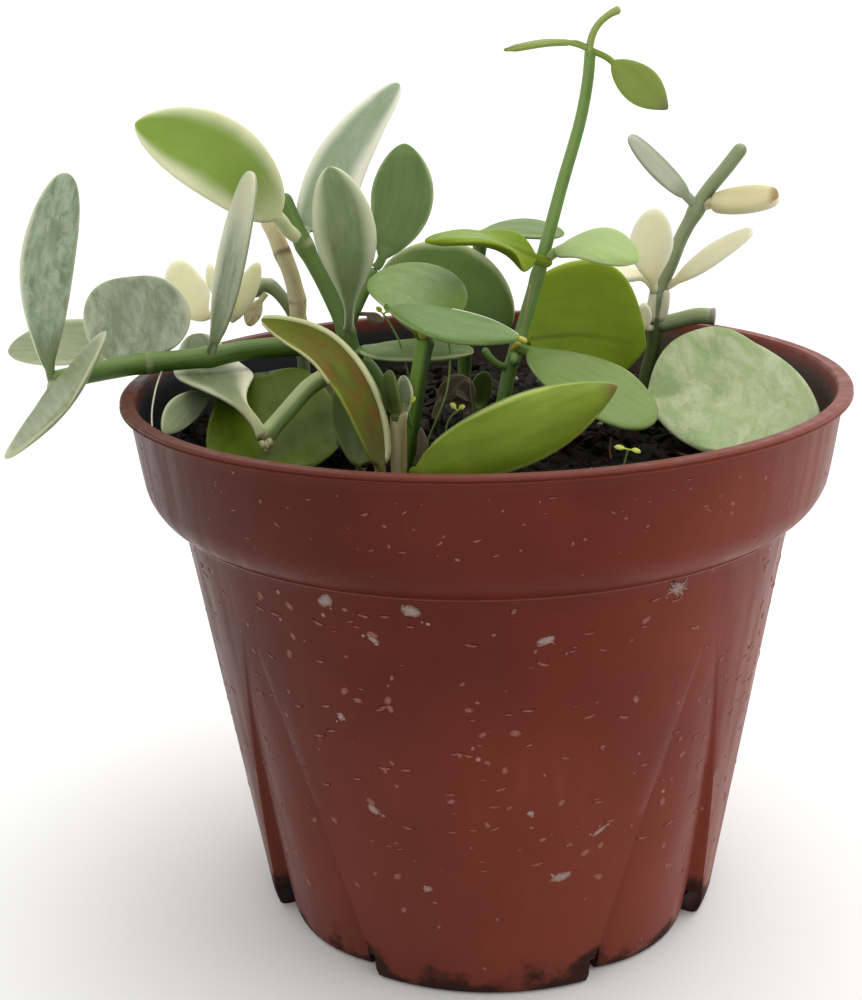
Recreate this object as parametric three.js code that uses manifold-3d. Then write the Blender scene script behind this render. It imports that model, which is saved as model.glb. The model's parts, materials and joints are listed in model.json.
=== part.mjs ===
// Potted dischidia: a moulded nursery pot, its soil, and the cuttings that stand in it.
// Millimetres, +Z up. The origin is the centre of the pot's underside.
// The front of the pot looks along -Y, and +X is to the right of someone facing it.
import * as THREE from "three";
import { mergeVertices } from "three/addons/utils/BufferGeometryUtils.js";
import Module from "manifold-3d";

const wasm = await Module();
wasm.setup();

// Driving dimensions of the pot
const RIM_RADIUS = 52.5;
const POT_HEIGHT = 82;
const WALL = 1.1;
const LIP_WIDTH = 2.1;
const LIP_DROP = 0.9;
const COLLAR_BOTTOM = 64.1;
const BODY_TOP_RADIUS = 45.1;
const FOOT_RADIUS = 36;
const FLOOR_TOP = 2.6;
const FOOT_RECESS = 1.4;
const FOOT_RING_INSIDE = 29;
const FOOT_CHAMFER = 1.1;
const CENTRE_DISC_RADIUS = 9;
const CORNER_SINK = 2.6;
const CORNER_MIDDLE_SHARE = 0.45;
const CORNER_HALF_ANGLE = 20.5;
const CORNER_TOP_HALF_ANGLE = 2;
const CORNER_TOP = 54;
const PANEL_TURN = -2.4;
const DRAIN_WIDTH = 2.6;
const DRAIN_HEIGHT = 4.4;
const DRAIN_DEPTH = 9;
const DRAIN_FROM_CREASE = 2.5;
const PANEL_STEPS = 8;
const CORNER_STEPS = 4;

// Driving dimensions of the soil and the plants
const SOIL_TOP = 73;
const SOIL_RELIEF = 0.7;
const SOIL_SIDES = 32;
const SOIL_CLEAR = 1.8;
const HOLE_SIDES = 10;
const GAP = 0.3;
const ROOT_DEPTH = 8;
const STALK_RADIUS = 0.7;
const BLADE_THICK = 1.3;
const TIP_RADIUS = 0.35;
const STEM_SIDES = 8;
const STEPS_PER_SPAN = 2;
const NODE_SWELL = 1.3;
const END_SHARE = 0.6;
const BLADE_SIDES = 8;
const BLADE_STEPS = 8;
const SMALL_BLADE_WIDTH = 7;
const SMALL_BLADE_STEPS = 5;
const HALVES_FROM = 0.2;

const radians = THREE.MathUtils.degToRad;
const at = (x, y, z) => new THREE.Vector3(x, y, z);

// Closed skin over a row of rings that all have the same number of points. The two halves of
// a ring split their faces alike, so that the two sides of a thin blade follow each other.
function skin(rings) {
  const sides = rings[0].length;
  const points = rings.flat();
  const faces = [];
  for (let row = 0; row + 1 < rings.length; row += 1) {
    for (let side = 0; side < sides; side += 1) {
      const a = row * sides + side;
      const b = row * sides + ((side + 1) % sides);
      if (side < sides / 2) {
        faces.push(a, b, b + sides, a, b + sides, a + sides);
      } else {
        faces.push(a, b, a + sides, b, b + sides, a + sides);
      }
    }
  }
  const last = points.length - sides;
  for (let side = 1; side + 1 < sides; side += 1) {
    faces.push(0, side + 1, side);
    faces.push(last, last + side, last + side + 1);
  }
  const geometry = new THREE.BufferGeometry();
  const numbers = points.flatMap((point) => [point.x, point.y, point.z]);
  geometry.setAttribute("position", new THREE.Float32BufferAttribute(numbers, 3));
  geometry.setIndex(faces);
  return geometry;
}

// A closed geometry as a solid that can be joined and cut, turned right side out if need be
function solid(geometry) {
  const bare = geometry.clone();
  bare.deleteAttribute("normal");
  bare.deleteAttribute("uv");
  const merged = mergeVertices(bare, 1e-4);
  const vertProperties = new Float32Array(merged.attributes.position.array);
  const triVerts = new Uint32Array(merged.index.array);
  let made = new wasm.Manifold(new wasm.Mesh({ numProp: 3, vertProperties, triVerts }));
  if (made.volume() < 0) {
    const turned = triVerts.slice();
    for (let i = 0; i < turned.length; i += 3) {
      turned[i + 1] = triVerts[i + 2];
      turned[i + 2] = triVerts[i + 1];
    }
    made = new wasm.Manifold(new wasm.Mesh({ numProp: 3, vertProperties, triVerts: turned }));
  }
  return made;
}

function joined(solids) {
  return solids.reduce((sum, next) => sum.add(next));
}

// The finished solid as a named mesh, leaving out scraps that a cut may loosen
function part(name, shape, { color, roughness }) {
  const pieces = shape.decompose();
  const whole = pieces.reduce((best, piece) => (piece.volume() > best.volume() ? piece : best));
  const mesh = whole.getMesh();
  const geometry = new THREE.BufferGeometry();
  geometry.setAttribute("position", new THREE.BufferAttribute(new Float32Array(mesh.vertProperties), 3));
  geometry.setIndex(new THREE.BufferAttribute(new Uint32Array(mesh.triVerts), 1));
  geometry.computeVertexNormals();
  const made = new THREE.Mesh(geometry, new THREE.MeshStandardMaterial({ color, roughness, metalness: 0 }));
  made.name = name;
  return made;
}

const finishes = {
  pot: { color: "#7d3427", roughness: 0.42 },
  soil: { color: "#2a1f18", roughness: 0.95 },
  green: { color: "#5f8f3c", roughness: 0.45 },
  silver: { color: "#8fa58c", roughness: 0.5 },
  cream: { color: "#e4dfb6", roughness: 0.5 },
  olive: { color: "#7f9a3a", roughness: 0.45 },
  withered: { color: "#a8813f", roughness: 0.7 },
};

// The pot: a tapered body with four sunk corner panels, a step, a collar and a lip
const cornerShare = (z) => THREE.MathUtils.clamp(1 - z / CORNER_TOP, 0, 1);

const cornerHalfAngle = (z) =>
  CORNER_TOP_HALF_ANGLE + (CORNER_HALF_ANGLE - CORNER_TOP_HALF_ANGLE) * cornerShare(z);

// How far the wall is sunk at a height, most beside the creases and less in mid corner
const cornerSink = (z, across) =>
  CORNER_SINK * cornerShare(z) ** 1.2 * (CORNER_MIDDLE_SHARE + (1 - CORNER_MIDDLE_SHARE) * across ** 2);

// One turn of the wall as angle and sink pairs: four broad panels, four corners
function wallTurn(z) {
  const broad = 45 - cornerHalfAngle(z);
  const corner = cornerHalfAngle(z);
  const turn = [];
  for (let quarter = 0; quarter < 4; quarter += 1) {
    const middle = PANEL_TURN + 90 * quarter;
    for (let step = 0; step <= PANEL_STEPS; step += 1) {
      turn.push([middle - broad + (2 * broad * step) / PANEL_STEPS, 0]);
    }
    for (let step = 0; step <= CORNER_STEPS; step += 1) {
      const across = -1 + (2 * step) / CORNER_STEPS;
      turn.push([middle + 45 + across * (corner - 1), cornerSink(z, across)]);
    }
  }
  return turn;
}

function wallRing(radius, z, follow = 1) {
  return wallTurn(z).map(([angle, sink]) => {
    const reach = radius - sink * follow;
    return at(reach * Math.sin(radians(angle)), -reach * Math.cos(radians(angle)), z);
  });
}

const bodyRadius = (z) => FOOT_RADIUS + ((BODY_TOP_RADIUS - FOOT_RADIUS) * z) / COLLAR_BOTTOM;

// The collar's outline from the step up to just under the lip, radius and height
const collar = [
  [46.3, 64.9],
  [48.2, 66.3],
  [49.6, 68.6],
  [50.2, 71.6],
  [51.3, POT_HEIGHT - LIP_DROP],
];

function pot() {
  const bodyHeights = [FOOT_CHAMFER, 4, 12, 24, 38, CORNER_TOP, COLLAR_BOTTOM];
  const outside = [
    wallRing(CENTRE_DISC_RADIUS, 0, 0),
    wallRing(CENTRE_DISC_RADIUS + FOOT_RECESS, FOOT_RECESS, 0),
    wallRing(FOOT_RING_INSIDE - FOOT_RECESS, FOOT_RECESS, 0),
    wallRing(FOOT_RING_INSIDE, 0, 0),
    wallRing(FOOT_RADIUS - FOOT_CHAMFER, 0),
    ...bodyHeights.map((z) => wallRing(bodyRadius(z), z)),
    ...collar.map(([radius, z]) => wallRing(radius, z, 0)),
    wallRing(RIM_RADIUS - 0.2, POT_HEIGHT - LIP_DROP, 0),
    wallRing(RIM_RADIUS, POT_HEIGHT - LIP_DROP / 2, 0),
    wallRing(RIM_RADIUS - 0.4, POT_HEIGHT, 0),
  ];
  const inside = [
    wallRing(RIM_RADIUS - LIP_WIDTH, POT_HEIGHT, 0),
    ...collar.map(([radius, z]) => wallRing(radius - WALL, z + GAP, 0)).reverse(),
    ...bodyHeights.slice(1).reverse().map((z) => wallRing(bodyRadius(z) - WALL, z)),
    wallRing(FOOT_RADIUS - WALL - FOOT_CHAMFER, FLOOR_TOP),
  ];
  const shell = solid(skin([...outside, ...inside]));
  return shell.subtract(joined(drainCutters()));
}

// A drain notch at the foot of each crease, cut through the wall and under its edge
function drainCutters() {
  const cutters = [];
  for (let quarter = 0; quarter < 4; quarter += 1) {
    for (const side of [-1, 1]) {
      const angle = PANEL_TURN + 90 * quarter + 45 + side * (CORNER_HALF_ANGLE - DRAIN_FROM_CREASE);
      const box = new THREE.BoxGeometry(DRAIN_WIDTH, DRAIN_DEPTH, DRAIN_HEIGHT * 2);
      box.translate(0, -(FOOT_RADIUS - FOOT_CHAMFER), 0);
      box.rotateZ(radians(angle));
      cutters.push(solid(box));
    }
  }
  return cutters;
}

// The soil: it fills the pot with a lumpy top and a hole for each stem that stands in it
const soilHeight = (x, y) =>
  SOIL_TOP +
  SOIL_RELIEF * (0.5 * Math.sin(x * 0.55 + 1.3) * Math.cos(y * 0.47) + 0.5 * Math.sin(x * 0.19 - y * 0.31));

function soilRing(radius, z) {
  const ring = [];
  for (let side = 0; side < SOIL_SIDES; side += 1) {
    const angle = (2 * Math.PI * side) / SOIL_SIDES;
    const x = radius * Math.cos(angle);
    const y = radius * Math.sin(angle);
    ring.push(at(x, y, z === undefined ? soilHeight(x, y) : z));
  }
  return ring;
}

function soil(roots) {
  const topRadius = collar[3][0] - SOIL_CLEAR;
  const rings = [
    soilRing(FOOT_RADIUS - CORNER_SINK - SOIL_CLEAR - GAP, FLOOR_TOP + GAP),
    soilRing(bodyRadius(30) - cornerSink(30, 1) - SOIL_CLEAR, 30),
    soilRing(BODY_TOP_RADIUS - SOIL_CLEAR, COLLAR_BOTTOM + GAP),
    soilRing(collar[2][0] - SOIL_CLEAR, collar[2][1]),
    ...[1, 0.84, 0.68, 0.52, 0.36, 0.2, 0.07].map((share) => soilRing(topRadius * share)),
  ];
  const holeLength = ROOT_DEPTH * 1.5;
  const holes = roots.map(([x, y, radius]) => {
    const hole = new THREE.CylinderGeometry(radius + GAP, radius + GAP, holeLength, HOLE_SIDES);
    hole.rotateX(Math.PI / 2);
    hole.translate(x, y, SOIL_TOP - ROOT_DEPTH - GAP + holeLength / 2);
    return solid(hole);
  });
  return solid(skin(rings)).subtract(joined(holes));
}

// The smooth line through a list of points
const lineThrough = (points) =>
  new THREE.CatmullRomCurve3(points.map((point) => at(...point)), false, "catmullrom", 0.5);

// A round stem through its points, a little thicker at the nodes and slimmer towards its tip
function stem({ points, radius, nodes = [], taper = 0 }) {
  const line = lineThrough(points);
  const steps = (points.length - 1) * STEPS_PER_SPAN;
  let across = at(1, 0, 0);
  const rings = [];
  for (let step = 0; step <= steps; step += 1) {
    const centre = line.getPoint(step / steps);
    const along = line.getTangent(step / steps);
    across = across.clone().addScaledVector(along, -across.dot(along)).normalize();
    const up = along.clone().cross(across);
    const swell = nodes.some((node) => node * STEPS_PER_SPAN === step) ? NODE_SWELL : 1;
    const end = step === steps ? END_SHARE : 1;
    const reach = radius * swell * end * (1 - (taper * step) / steps);
    const ring = [];
    for (let side = 0; side < STEM_SIDES; side += 1) {
      const angle = (2 * Math.PI * side) / STEM_SIDES;
      const point = centre.clone().addScaledVector(across, reach * Math.cos(angle));
      ring.push(point.addScaledVector(up, reach * Math.sin(angle)));
    }
    rings.push(ring);
  }
  return solid(skin(rings));
}

// A leaf: a round stalk that widens into a blade, with the finest rings on the widest blades.
// Its points run down the stalk, in one span or more, to where the blade starts, then through
// the middle of the blade to its tip. Face is the side that the blade shows. Full and tip say
// how the outline closes at the foot and at the tip, from blunt at 0.3 to drawn out at 1.2.
// Halves scale the two halves of the blade, first near the foot and then near the tip.
function leaf({
  points, width, face, stalkSpans = 1, halves = [[1, 1], [1, 1]],
  cup = 0.15, full = 0.75, tip = full, wide = 1, thick = BLADE_THICK, stalk = STALK_RADIUS,
}) {
  const line = lineThrough(points);
  const front = at(...face).normalize();
  const span = 1 / (points.length - 1);
  const bladeFrom = stalkSpans * span;
  const steps = width < SMALL_BLADE_WIDTH ? SMALL_BLADE_STEPS : BLADE_STEPS;
  const stations = [];
  for (let count = 0; count < stalkSpans; count += 1) {
    stations.push(count * span);
  }
  stations.push(bladeFrom - 0.4 * span);
  for (let step = 0; step <= steps; step += 1) {
    stations.push(bladeFrom + ((1 - bladeFrom) * step) / steps);
  }
  const rings = stations.map((station) => {
    const centre = line.getPoint(station);
    const along = line.getTangent(station);
    const across = front.clone().cross(along).normalize();
    const up = along.clone().cross(across);
    const blade = THREE.MathUtils.clamp((station - bladeFrom) / (1 - bladeFrom), 0, 1);
    const closing = full + (tip - full) * THREE.MathUtils.smoothstep(blade, 0, 1);
    const outline = Math.sin(Math.PI * blade ** wide) ** closing || 0;
    const slim = stalk + (TIP_RADIUS - stalk) * blade;
    const outward = THREE.MathUtils.clamp((blade - HALVES_FROM) / (1 - 2 * HALVES_FROM), 0, 1);
    const reaches = [0, 1].map((side) => {
      const share = THREE.MathUtils.lerp(halves[0][side], halves[1][side], outward);
      return Math.hypot((width / 2) * outline * share, slim);
    });
    const depth = Math.max(slim, (thick / 2) * Math.min(1, outline * 1.5 + 0.3));
    const ring = [];
    for (let side = 0; side < BLADE_SIDES; side += 1) {
      const angle = (2 * Math.PI * side) / BLADE_SIDES;
      const sideways = Math.cos(angle);
      const half = reaches[sideways < 0 ? 0 : 1];
      const rise = depth * Math.sin(angle) + cup * (half - slim) * (sideways * sideways - 0.3);
      ring.push(centre.clone().addScaledVector(across, half * sideways).addScaledVector(up, rise));
    }
    return ring;
  });
  return solid(skin(rings));
}

// The part of a stem or stalk that stands in the soil, straight up to the surface
const rootPoints = (x, y) => [
  [x, y, SOIL_TOP - ROOT_DEPTH],
  [x, y, SOIL_TOP + 0.5],
];

// Each cutting: where it stands in the soil, its stems and its leaves
const plants = {
  // A long stem that lies over the rim on the left and bears leaves past it
  trailing_stem: {
    finish: finishes.silver,
    root: [-15, 13],
    stems: [
      {
        radius: 1.5,
        nodes: [6, 7],
        points: [
          ...rootPoints(-15, 13), [-18, 13, 80.5], [-23.5, 11, 84], [-28.7, 9, 84.9], [-35.1, 6, 85.2],
          [-40.8, 3, 84.8], [-49.5, 1, 84.5], [-55, -1, 84.1], [-60, -2, 83.4], [-63.3, -3, 82.8],
        ],
      },
    ],
    leaves: [
      { points: [[-63.1, -3, 83.1], [-63.2, -3.1, 84.6], [-63.1, -3.6, 88.5], [-60.9, -6, 100.2],
          [-56, -8, 112.9]],
        width: 7.3, face: [0.25, -1, 0.1], full: 0.57, tip: 0.43, wide: 1.23 },
      { points: [[-63, -3, 82.8], [-62.4, -5.5, 82.4], [-60.2, -10, 82.2], [-57.4, -15.5, 82]],
        width: 23, face: [-0.6, -0.4, 0.69], full: 0.7, cup: 0.1 },
      { points: [[-49.6, 1.8, 84.6], [-50.5, 3.6, 84.4], [-51.7, 6, 90.6], [-52.1, 6.5, 96.6]],
        width: 16.4, face: [0, -1, 0.2], full: 0.3 },
      { points: [[-49.6, 1, 84.6], [-55, 7, 85], [-64.5, 12, 85.4], [-74.8, 14, 84.6]],
        width: 11.2, face: [0, -0.5, 0.87], full: 0.7, tip: 0.5 },
      { points: [[-40.9, 3, 85], [-39.6, 1.4, 87.3], [-35.3, -2, 99.2], [-31.1, -4.6, 112]],
        width: 10, face: [-0.9, -0.48, 0.1], full: 0.6, tip: 0.4 },
    ],
  },
  // A short stem that arches down to the soil and sends a leaf back under the trailing one
  arching_stem: {
    finish: finishes.green,
    root: [-17, -6],
    stems: [
      {
        radius: 1.2,
        nodes: [6],
        points: [
          ...rootPoints(-17, -6), [-17.5, -6, 79], [-20.5, -6.5, 83.6], [-24, -9, 83],
          [-27.2, -14.5, 80.4], [-29.8, -20, 78.1],
        ],
      },
    ],
    leaves: [
      { points: [[-29.9, -20, 78.4], [-31.2, -17.5, 80], [-36.5, -7, 82], [-42.5, 9, 82], [-44.7, 15, 86]],
        width: 11.4, face: [0.2, -0.5, 0.85], full: 1.2, tip: 0.45, wide: 1.5, cup: 0.1 },
    ],
  },
  // The tall leaning stem of variegated leaves
  leaning_stem: {
    finish: finishes.silver,
    root: [-17, 5],
    stems: [
      {
        radius: 1.25,
        nodes: [3, 5],
        points: [
          ...rootPoints(-17, 5), [-18.5, 5, 81], [-20.3, 5, 88], [-23, 6, 94.5], [-26, 7, 100.4],
          [-27.8, 8, 104.4], [-29.2, 9, 107.8],
        ],
      },
      { radius: 0.9, points: [[-20.3, 5.2, 87.6], [-18.4, 7.2, 91.5], [-15.8, 9, 96.5]] },
    ],
    leaves: [
      { points: [[-26.2, 7, 101], [-28.2, 6.2, 102.8], [-29.6, 5.2, 105], [-36.4, 1.8, 113.2],
          [-47.5, -2, 118.8]],
        stalkSpans: 2, width: 11.6, face: [0.1, -0.95, 0.3], full: 0.46, tip: 0.6, stalk: 1 },
      { points: [[-26, 7.4, 101.4], [-25.8, 9, 102.5], [-21.1, 13, 112.1], [-11.7, 18, 122.6]],
        width: 7.4, face: [-0.1, -1, 0.1], full: 0.5, tip: 0.45, wide: 0.68,
        halves: [[1.55, 0.85], [0.95, 0.95]] },
      { points: [[-20.3, 5, 87.8], [-19.4, 2.5, 90.3], [-19, -1, 102.1], [-20.7, -2, 112.3]],
        width: 8.9, face: [0, -1, 0.1], full: 1, tip: 0.55, wide: 1.35 },
      { points: [[-15.8, 9, 96.5], [-14.7, 9.3, 98], [-11.7, 11, 105.5], [-10.8, 12, 114.3]],
        width: 9.3, face: [0.1, -1, 0], full: 0.6, wide: 1.15 },
      { points: [[-18.5, 5, 83], [-17, -1, 86.2], [-9, -8, 87.3], [-1.2, -12, 87.7]],
        width: 10.5, face: [0, -0.12, 1], full: 0.7, tip: 0.6, cup: 0.05 },
    ],
  },
  // An old bare stem, cream and corky at its nodes
  old_stem: {
    finish: finishes.cream,
    root: [-23.5, 15.5],
    stems: [
      {
        radius: 1.3,
        nodes: [5],
        points: [
          ...rootPoints(-23.5, 15.5), [-25, 14.5, 81], [-28.1, 13, 87.6], [-28.3, 12.7, 91.5],
          [-29.1, 12.4, 95.8], [-30.1, 12.4, 98.6], [-31.3, 13, 101.8], [-32.6, 14, 104],
        ],
      },
    ],
    leaves: [],
  },
  // A small shoot of cream leaves behind the trailing stem
  cream_shoot_left: {
    finish: finishes.cream,
    root: [-29, 21],
    stems: [
      {
        radius: 1,
        nodes: [4],
        points: [
          ...rootPoints(-29, 21), [-29, 20, 82], [-30, 18.5, 88.5], [-33.5, 18, 93], [-36.2, 17.5, 91.5],
        ],
      },
    ],
    leaves: [
      { points: [[-36.2, 17.5, 91.6], [-43, 18, 88.4], [-46.6, 18.5, 92.3], [-48, 19, 97.2]],
        width: 6.6, face: [0.3, -1, 0], full: 0.7, tip: 0.5, stalk: 0.6, thick: 1 },
      { points: [[-36.2, 17.5, 91.6], [-38.4, 17.5, 90.6], [-41.5, 18, 93], [-42.8, 19, 96.5]],
        width: 3.2, face: [-0.4, -1, 0], full: 0.6, stalk: 0.6, thick: 1 },
      { points: [[-36.4, 17.3, 91.2], [-39.2, 16.4, 88], [-36.7, 14.8, 92.4], [-34.2, 14.4, 97.1]],
        width: 3.4, face: [0.2, -1, 0], full: 0.5, stalk: 0.6, thick: 1 },
      { points: [[-33.8, 17.4, 91.8], [-34.8, 17, 90.6], [-36, 16.6, 88.8], [-36.8, 16.4, 86.8]],
        width: 2.6, face: [0.2, -1, 0], full: 0.6, stalk: 0.5, thick: 0.9 },
    ],
  },
  // A lone leaf that arches out of the soil to the left and forward, under the arching stem's leaf
  low_leaf_left: {
    finish: finishes.silver,
    root: [-37.5, 2.5],
    stems: [],
    leaves: [
      { points: [...rootPoints(-37.5, 2.5), [-38.6, 2, 76.8], [-41.2, 0.4, 79.2], [-43.8, -5.4, 78.6],
          [-45.3, -11.6, 77]],
        stalkSpans: 3, width: 4.4, face: [0.69, -0.37, 0.6], full: 0.45, tip: 0.6, cup: 0.1, stalk: 0.6,
        thick: 1 },
    ],
  },
  // A large leaf lying back over the soil at the front left
  broad_leaf_left: {
    finish: finishes.olive,
    root: [-25.5, -27],
    stems: [],
    leaves: [
      { points: [...rootPoints(-25.5, -27), [-25.8, -26, 75], [-29.5, -11, 76], [-32.3, 4, 81.3]],
        stalkSpans: 2, width: 19.6, face: [-0.05, -0.35, 0.93], full: 0.35, tip: 0.28, cup: 0.04,
        stalk: 0.8, thick: 1.2 },
    ],
  },
  // A narrow grey-green leaf that stands beside it
  narrow_leaf_left: {
    finish: finishes.silver,
    root: [-16.4, -22],
    stems: [],
    leaves: [
      { points: [...rootPoints(-16.4, -22), [-16.5, -21.6, 74.6], [-17.1, -16.5, 78.5], [-19.8, -11.5, 84.5]],
        stalkSpans: 2, width: 6.6, face: [0.1, -0.85, 0.5], full: 0.5, tip: 0.8, cup: 0.05, thick: 1 },
    ],
  },
  // A dying leaf, folded and curled over to the left
  withered_leaf: {
    finish: finishes.withered,
    root: [-13.4, -27.2],
    stems: [],
    leaves: [
      { points: [...rootPoints(-13.4, -27.2), [-13.6, -27, 76.4], [-15.4, -25.6, 82.6],
          [-18, -22.8, 86.8], [-22, -19.2, 90.4], [-29.6, -15, 93.6]],
        stalkSpans: 2, width: 6.4, face: [0.6, -0.7, 0.4], full: 0.4, tip: 0.6, cup: 0.4, thick: 1 },
    ],
  },
  // A new shoot with its first leaves still shut
  bud_shoot: {
    finish: finishes.silver,
    root: [-11.2, -24],
    stems: [{ radius: 1.1, points: [...rootPoints(-11.2, -24), [-11.1, -24, 78.8], [-11, -23.8, 82.6]] }],
    leaves: [
      { points: [[-11, -23.9, 79.5], [-11.3, -24.3, 82.3], [-12, -24.4, 85.2], [-12, -24, 88.2]],
        width: 2.4, face: [-0.5, -0.9, 0.1], full: 0.5, tip: 0.6, cup: -0.2 },
      { points: [[-11, -23.7, 79.5], [-10.5, -23.4, 82.3], [-10.1, -23.2, 84.6], [-10.3, -23, 87.2]],
        width: 2.1, face: [0.4, -0.9, 0.1], full: 0.5, tip: 0.6, cup: -0.2 },
    ],
  },
  // The front stem with a pair of leaves on top and a long folded leaf at its foot
  front_stem: {
    finish: finishes.green,
    root: [-10.3, -21.5],
    stems: [
      {
        radius: 1.15,
        nodes: [4],
        points: [...rootPoints(-10.3, -21.5), [-9.6, -21.5, 79], [-8.4, -21, 86], [-7.2, -20, 91.8]],
      },
      { radius: 0.7, points: [[-7.4, -20, 91], [-8.2, -20.8, 92.4], [-8.6, -21, 94]] },
    ],
    leaves: [
      { points: [[-7.5, -20, 91.6], [-4.8, -15.5, 93.2], [-9, -10, 96.2], [-15.3, -7.5, 97.4]],
        width: 12.6, face: [0, -0.4, 0.92], full: 0.5, cup: 0.05 },
      { points: [[-12.3, -19.6, 95.8], [-11.9, -19.8, 95.5], [-4, -22, 93.3], [5, -24.5, 92]],
        width: 6.6, face: [0.1, -0.46, 0.88], full: 0.6, tip: 0.7, cup: 0.08, stalk: 0.5 },
      { points: [[-9.2, -22.4, 74], [-8.5, -25.4, 74.9], [-2, -26.4, 77.8], [4.2, -26, 80.1],
          [17.7, -22, 85]],
        width: 9.4, face: [-0.2, -0.9, 0.45], full: 0.5, tip: 0.75, cup: -0.25 },
    ],
  },
  // The tall stem with three pairs of leaves and the bud at its tip
  tall_stem: {
    finish: finishes.green,
    root: [2.4, -2],
    stems: [
      {
        radius: 1.15,
        taper: 0.32,
        nodes: [4, 6],
        points: [
          ...rootPoints(2.4, -2), [3.3, -2, 79.2], [4.1, -1.5, 82.8], [5.3, -1, 86.4], [6.8, 0, 91.3],
          [8.3, 1, 96.1], [9.4, 1, 100.1], [11.8, 2, 108.6], [14.2, 2, 116.8], [15.2, 1, 122.4],
          [15.5, 0, 127],
        ],
      },
      {
        radius: 0.55,
        points: [
          [15.2, 0, 126], [15.7, -0.4, 128.5], [16.7, -0.9, 130.1], [18.2, -1.4, 131.2], [19.3, -1.8, 131.6],
        ],
      },
    ],
    leaves: [
      { points: [[4.9, -1, 85.5], [7, -4, 86], [15.7, -11, 82.4], [23.6, -14.5, 77.8]],
        width: 14, face: [0.2, -0.35, 0.92], full: 0.45, wide: 1.3, cup: 0.04 },
      { points: [[5.6, -1, 86.2], [6.8, 4.5, 86], [15.8, 9, 85.6], [25.4, 12, 83.1]],
        width: 21.5, face: [0, -0.97, 0.25], full: 0.3, tip: 0.75, cup: 0.08,
        halves: [[0.95, 1.05], [0.8, 1.05]] },
      { points: [[9.8, 1, 97.9], [7.5, -2, 99], [0.1, -8, 102.5], [-7.3, -12, 103]],
        width: 9.4, face: [-0.15, -0.15, 1], full: 0.5, tip: 0.65, cup: 0.1 },
      { points: [[9, 1, 97.8], [11, 0, 99.5], [15.8, -3, 101.2], [21.8, -6, 98.7]],
        width: 10.5, face: [0.1, -0.35, 0.94], full: 0.6, cup: -0.05 },
      { points: [[15.4, 0, 126.7], [13.3, -1, 127.5], [11.2, -2, 127.7], [8.6, -3, 127.6], [3.6, -5, 126.9]],
        width: 2.6, face: [0, -0.12, 1], full: 0.7, tip: 0.9, stalk: 0.5, thick: 1 },
      { points: [[15.4, 0, 126.6], [17.4, -0.3, 125.7], [18.5, -0.5, 124.9], [22.1, -2, 121.8],
          [25.8, -3, 118.7]],
        stalkSpans: 2, width: 5.3, face: [0.2, -1, 0.2], full: 0.6, tip: 0.85, stalk: 0.5, thick: 1 },
    ],
  },
  // The stem at the back with a broad leaf that faces the front and one that points right
  back_stem: {
    finish: finishes.green,
    root: [-3, 18],
    stems: [
      {
        radius: 1.1,
        nodes: [2],
        points: [...rootPoints(-3, 18), [-2.4, 18, 83], [-1, 17.5, 92], [0.2, 16.5, 99.4]],
      },
    ],
    leaves: [
      { points: [[-2.2, 18, 84], [3.6, 13.5, 86], [-4, 13.8, 91.2], [-15.6, 13.2, 94.4]],
        width: 15.6, face: [0, -0.97, 0.2], full: 0.5, cup: 0.06 },
      { points: [[0.2, 16.5, 99], [0, 15.5, 100.2], [6.2, 15, 101], [12.9, 14, 100.2]],
        width: 11, face: [0, -0.12, 1], full: 0.6, cup: 0.05 },
    ],
  },
  // The stem at the right with small cream leaves and a cut side branch
  cream_stem_right: {
    finish: finishes.cream,
    root: [26, 20],
    stems: [
      {
        radius: 1.12,
        nodes: [4, 7],
        points: [
          ...rootPoints(26, 20), [27.6, 20, 81.6], [27.7, 20, 86.4], [28, 20, 89.7], [29.8, 20, 94.1],
          [31.4, 20, 98.4], [33.6, 20, 102.6], [35.1, 20, 105.3], [38, 20, 108.9], [40.5, 20, 112.2],
        ],
      },
      { radius: 1.3, points: [[28.4, 20, 84.8], [31.5, 19.2, 85.7], [34.2, 18.5, 86.4], [36.9, 17.9, 86.3]] },
    ],
    leaves: [
      { points: [[33.4, 20, 103.4], [31.6, 19, 105.2], [26.8, 16, 109.8], [22.5, 14, 114.3]],
        width: 3, face: [-0.5, -0.9, 0.3], full: 0.35, stalk: 0.7, thick: 1.2 },
      { points: [[34.2, 20, 103], [35.8, 19, 103.7], [40.3, 16, 104.3], [44.9, 14, 104.9]],
        width: 5, face: [0, -0.7, 0.7], full: 0.35, stalk: 0.8, thick: 2.4 },
      { points: [[27.8, 20, 88.8], [27.1, 18.8, 91.5], [26.4, 17, 97.7], [26.7, 16, 103.5]],
        width: 6.7, face: [0, -1, 0], full: 0.8, tip: 0.5, wide: 1.2, stalk: 0.7, thick: 1 },
      { points: [[28.7, 20, 90.4], [30.7, 19, 91.9], [36.1, 16, 96.5], [41.3, 14, 100.1]],
        width: 3.2, face: [0.2, -0.8, 0.5], full: 0.6, tip: 0.4, stalk: 0.6, thick: 1 },
      { points: [[27.6, 20, 90.4], [25.6, 21, 92.3], [20.4, 22.6, 93], [14.8, 24, 94.2]],
        width: 4.8, face: [0, -0.5, 0.85], full: 0.5, tip: 0.45, stalk: 0.6, thick: 1.2 },
      { points: [[28, 20, 84.5], [26.2, 18.4, 84.8], [25.6, 17.4, 86.8], [25.4, 16.6, 89]],
        width: 2.4, face: [0.2, -1, 0], full: 0.6, stalk: 0.5, thick: 1 },
    ],
  },
  // The largest leaf, leaning back inside the rim on the right
  broad_leaf_right: {
    finish: finishes.silver,
    root: [33.4, -17.6],
    stems: [],
    leaves: [
      { points: [...rootPoints(33.4, -17.6), [33.5, -17.2, 73.8], [36.2, -4.4, 79.2], [32.8, 6, 86.7]],
        stalkSpans: 2, width: 24, face: [-0.08, -0.56, 0.83], full: 0.42, cup: 0.05, stalk: 0.8, thick: 1.6,
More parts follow.
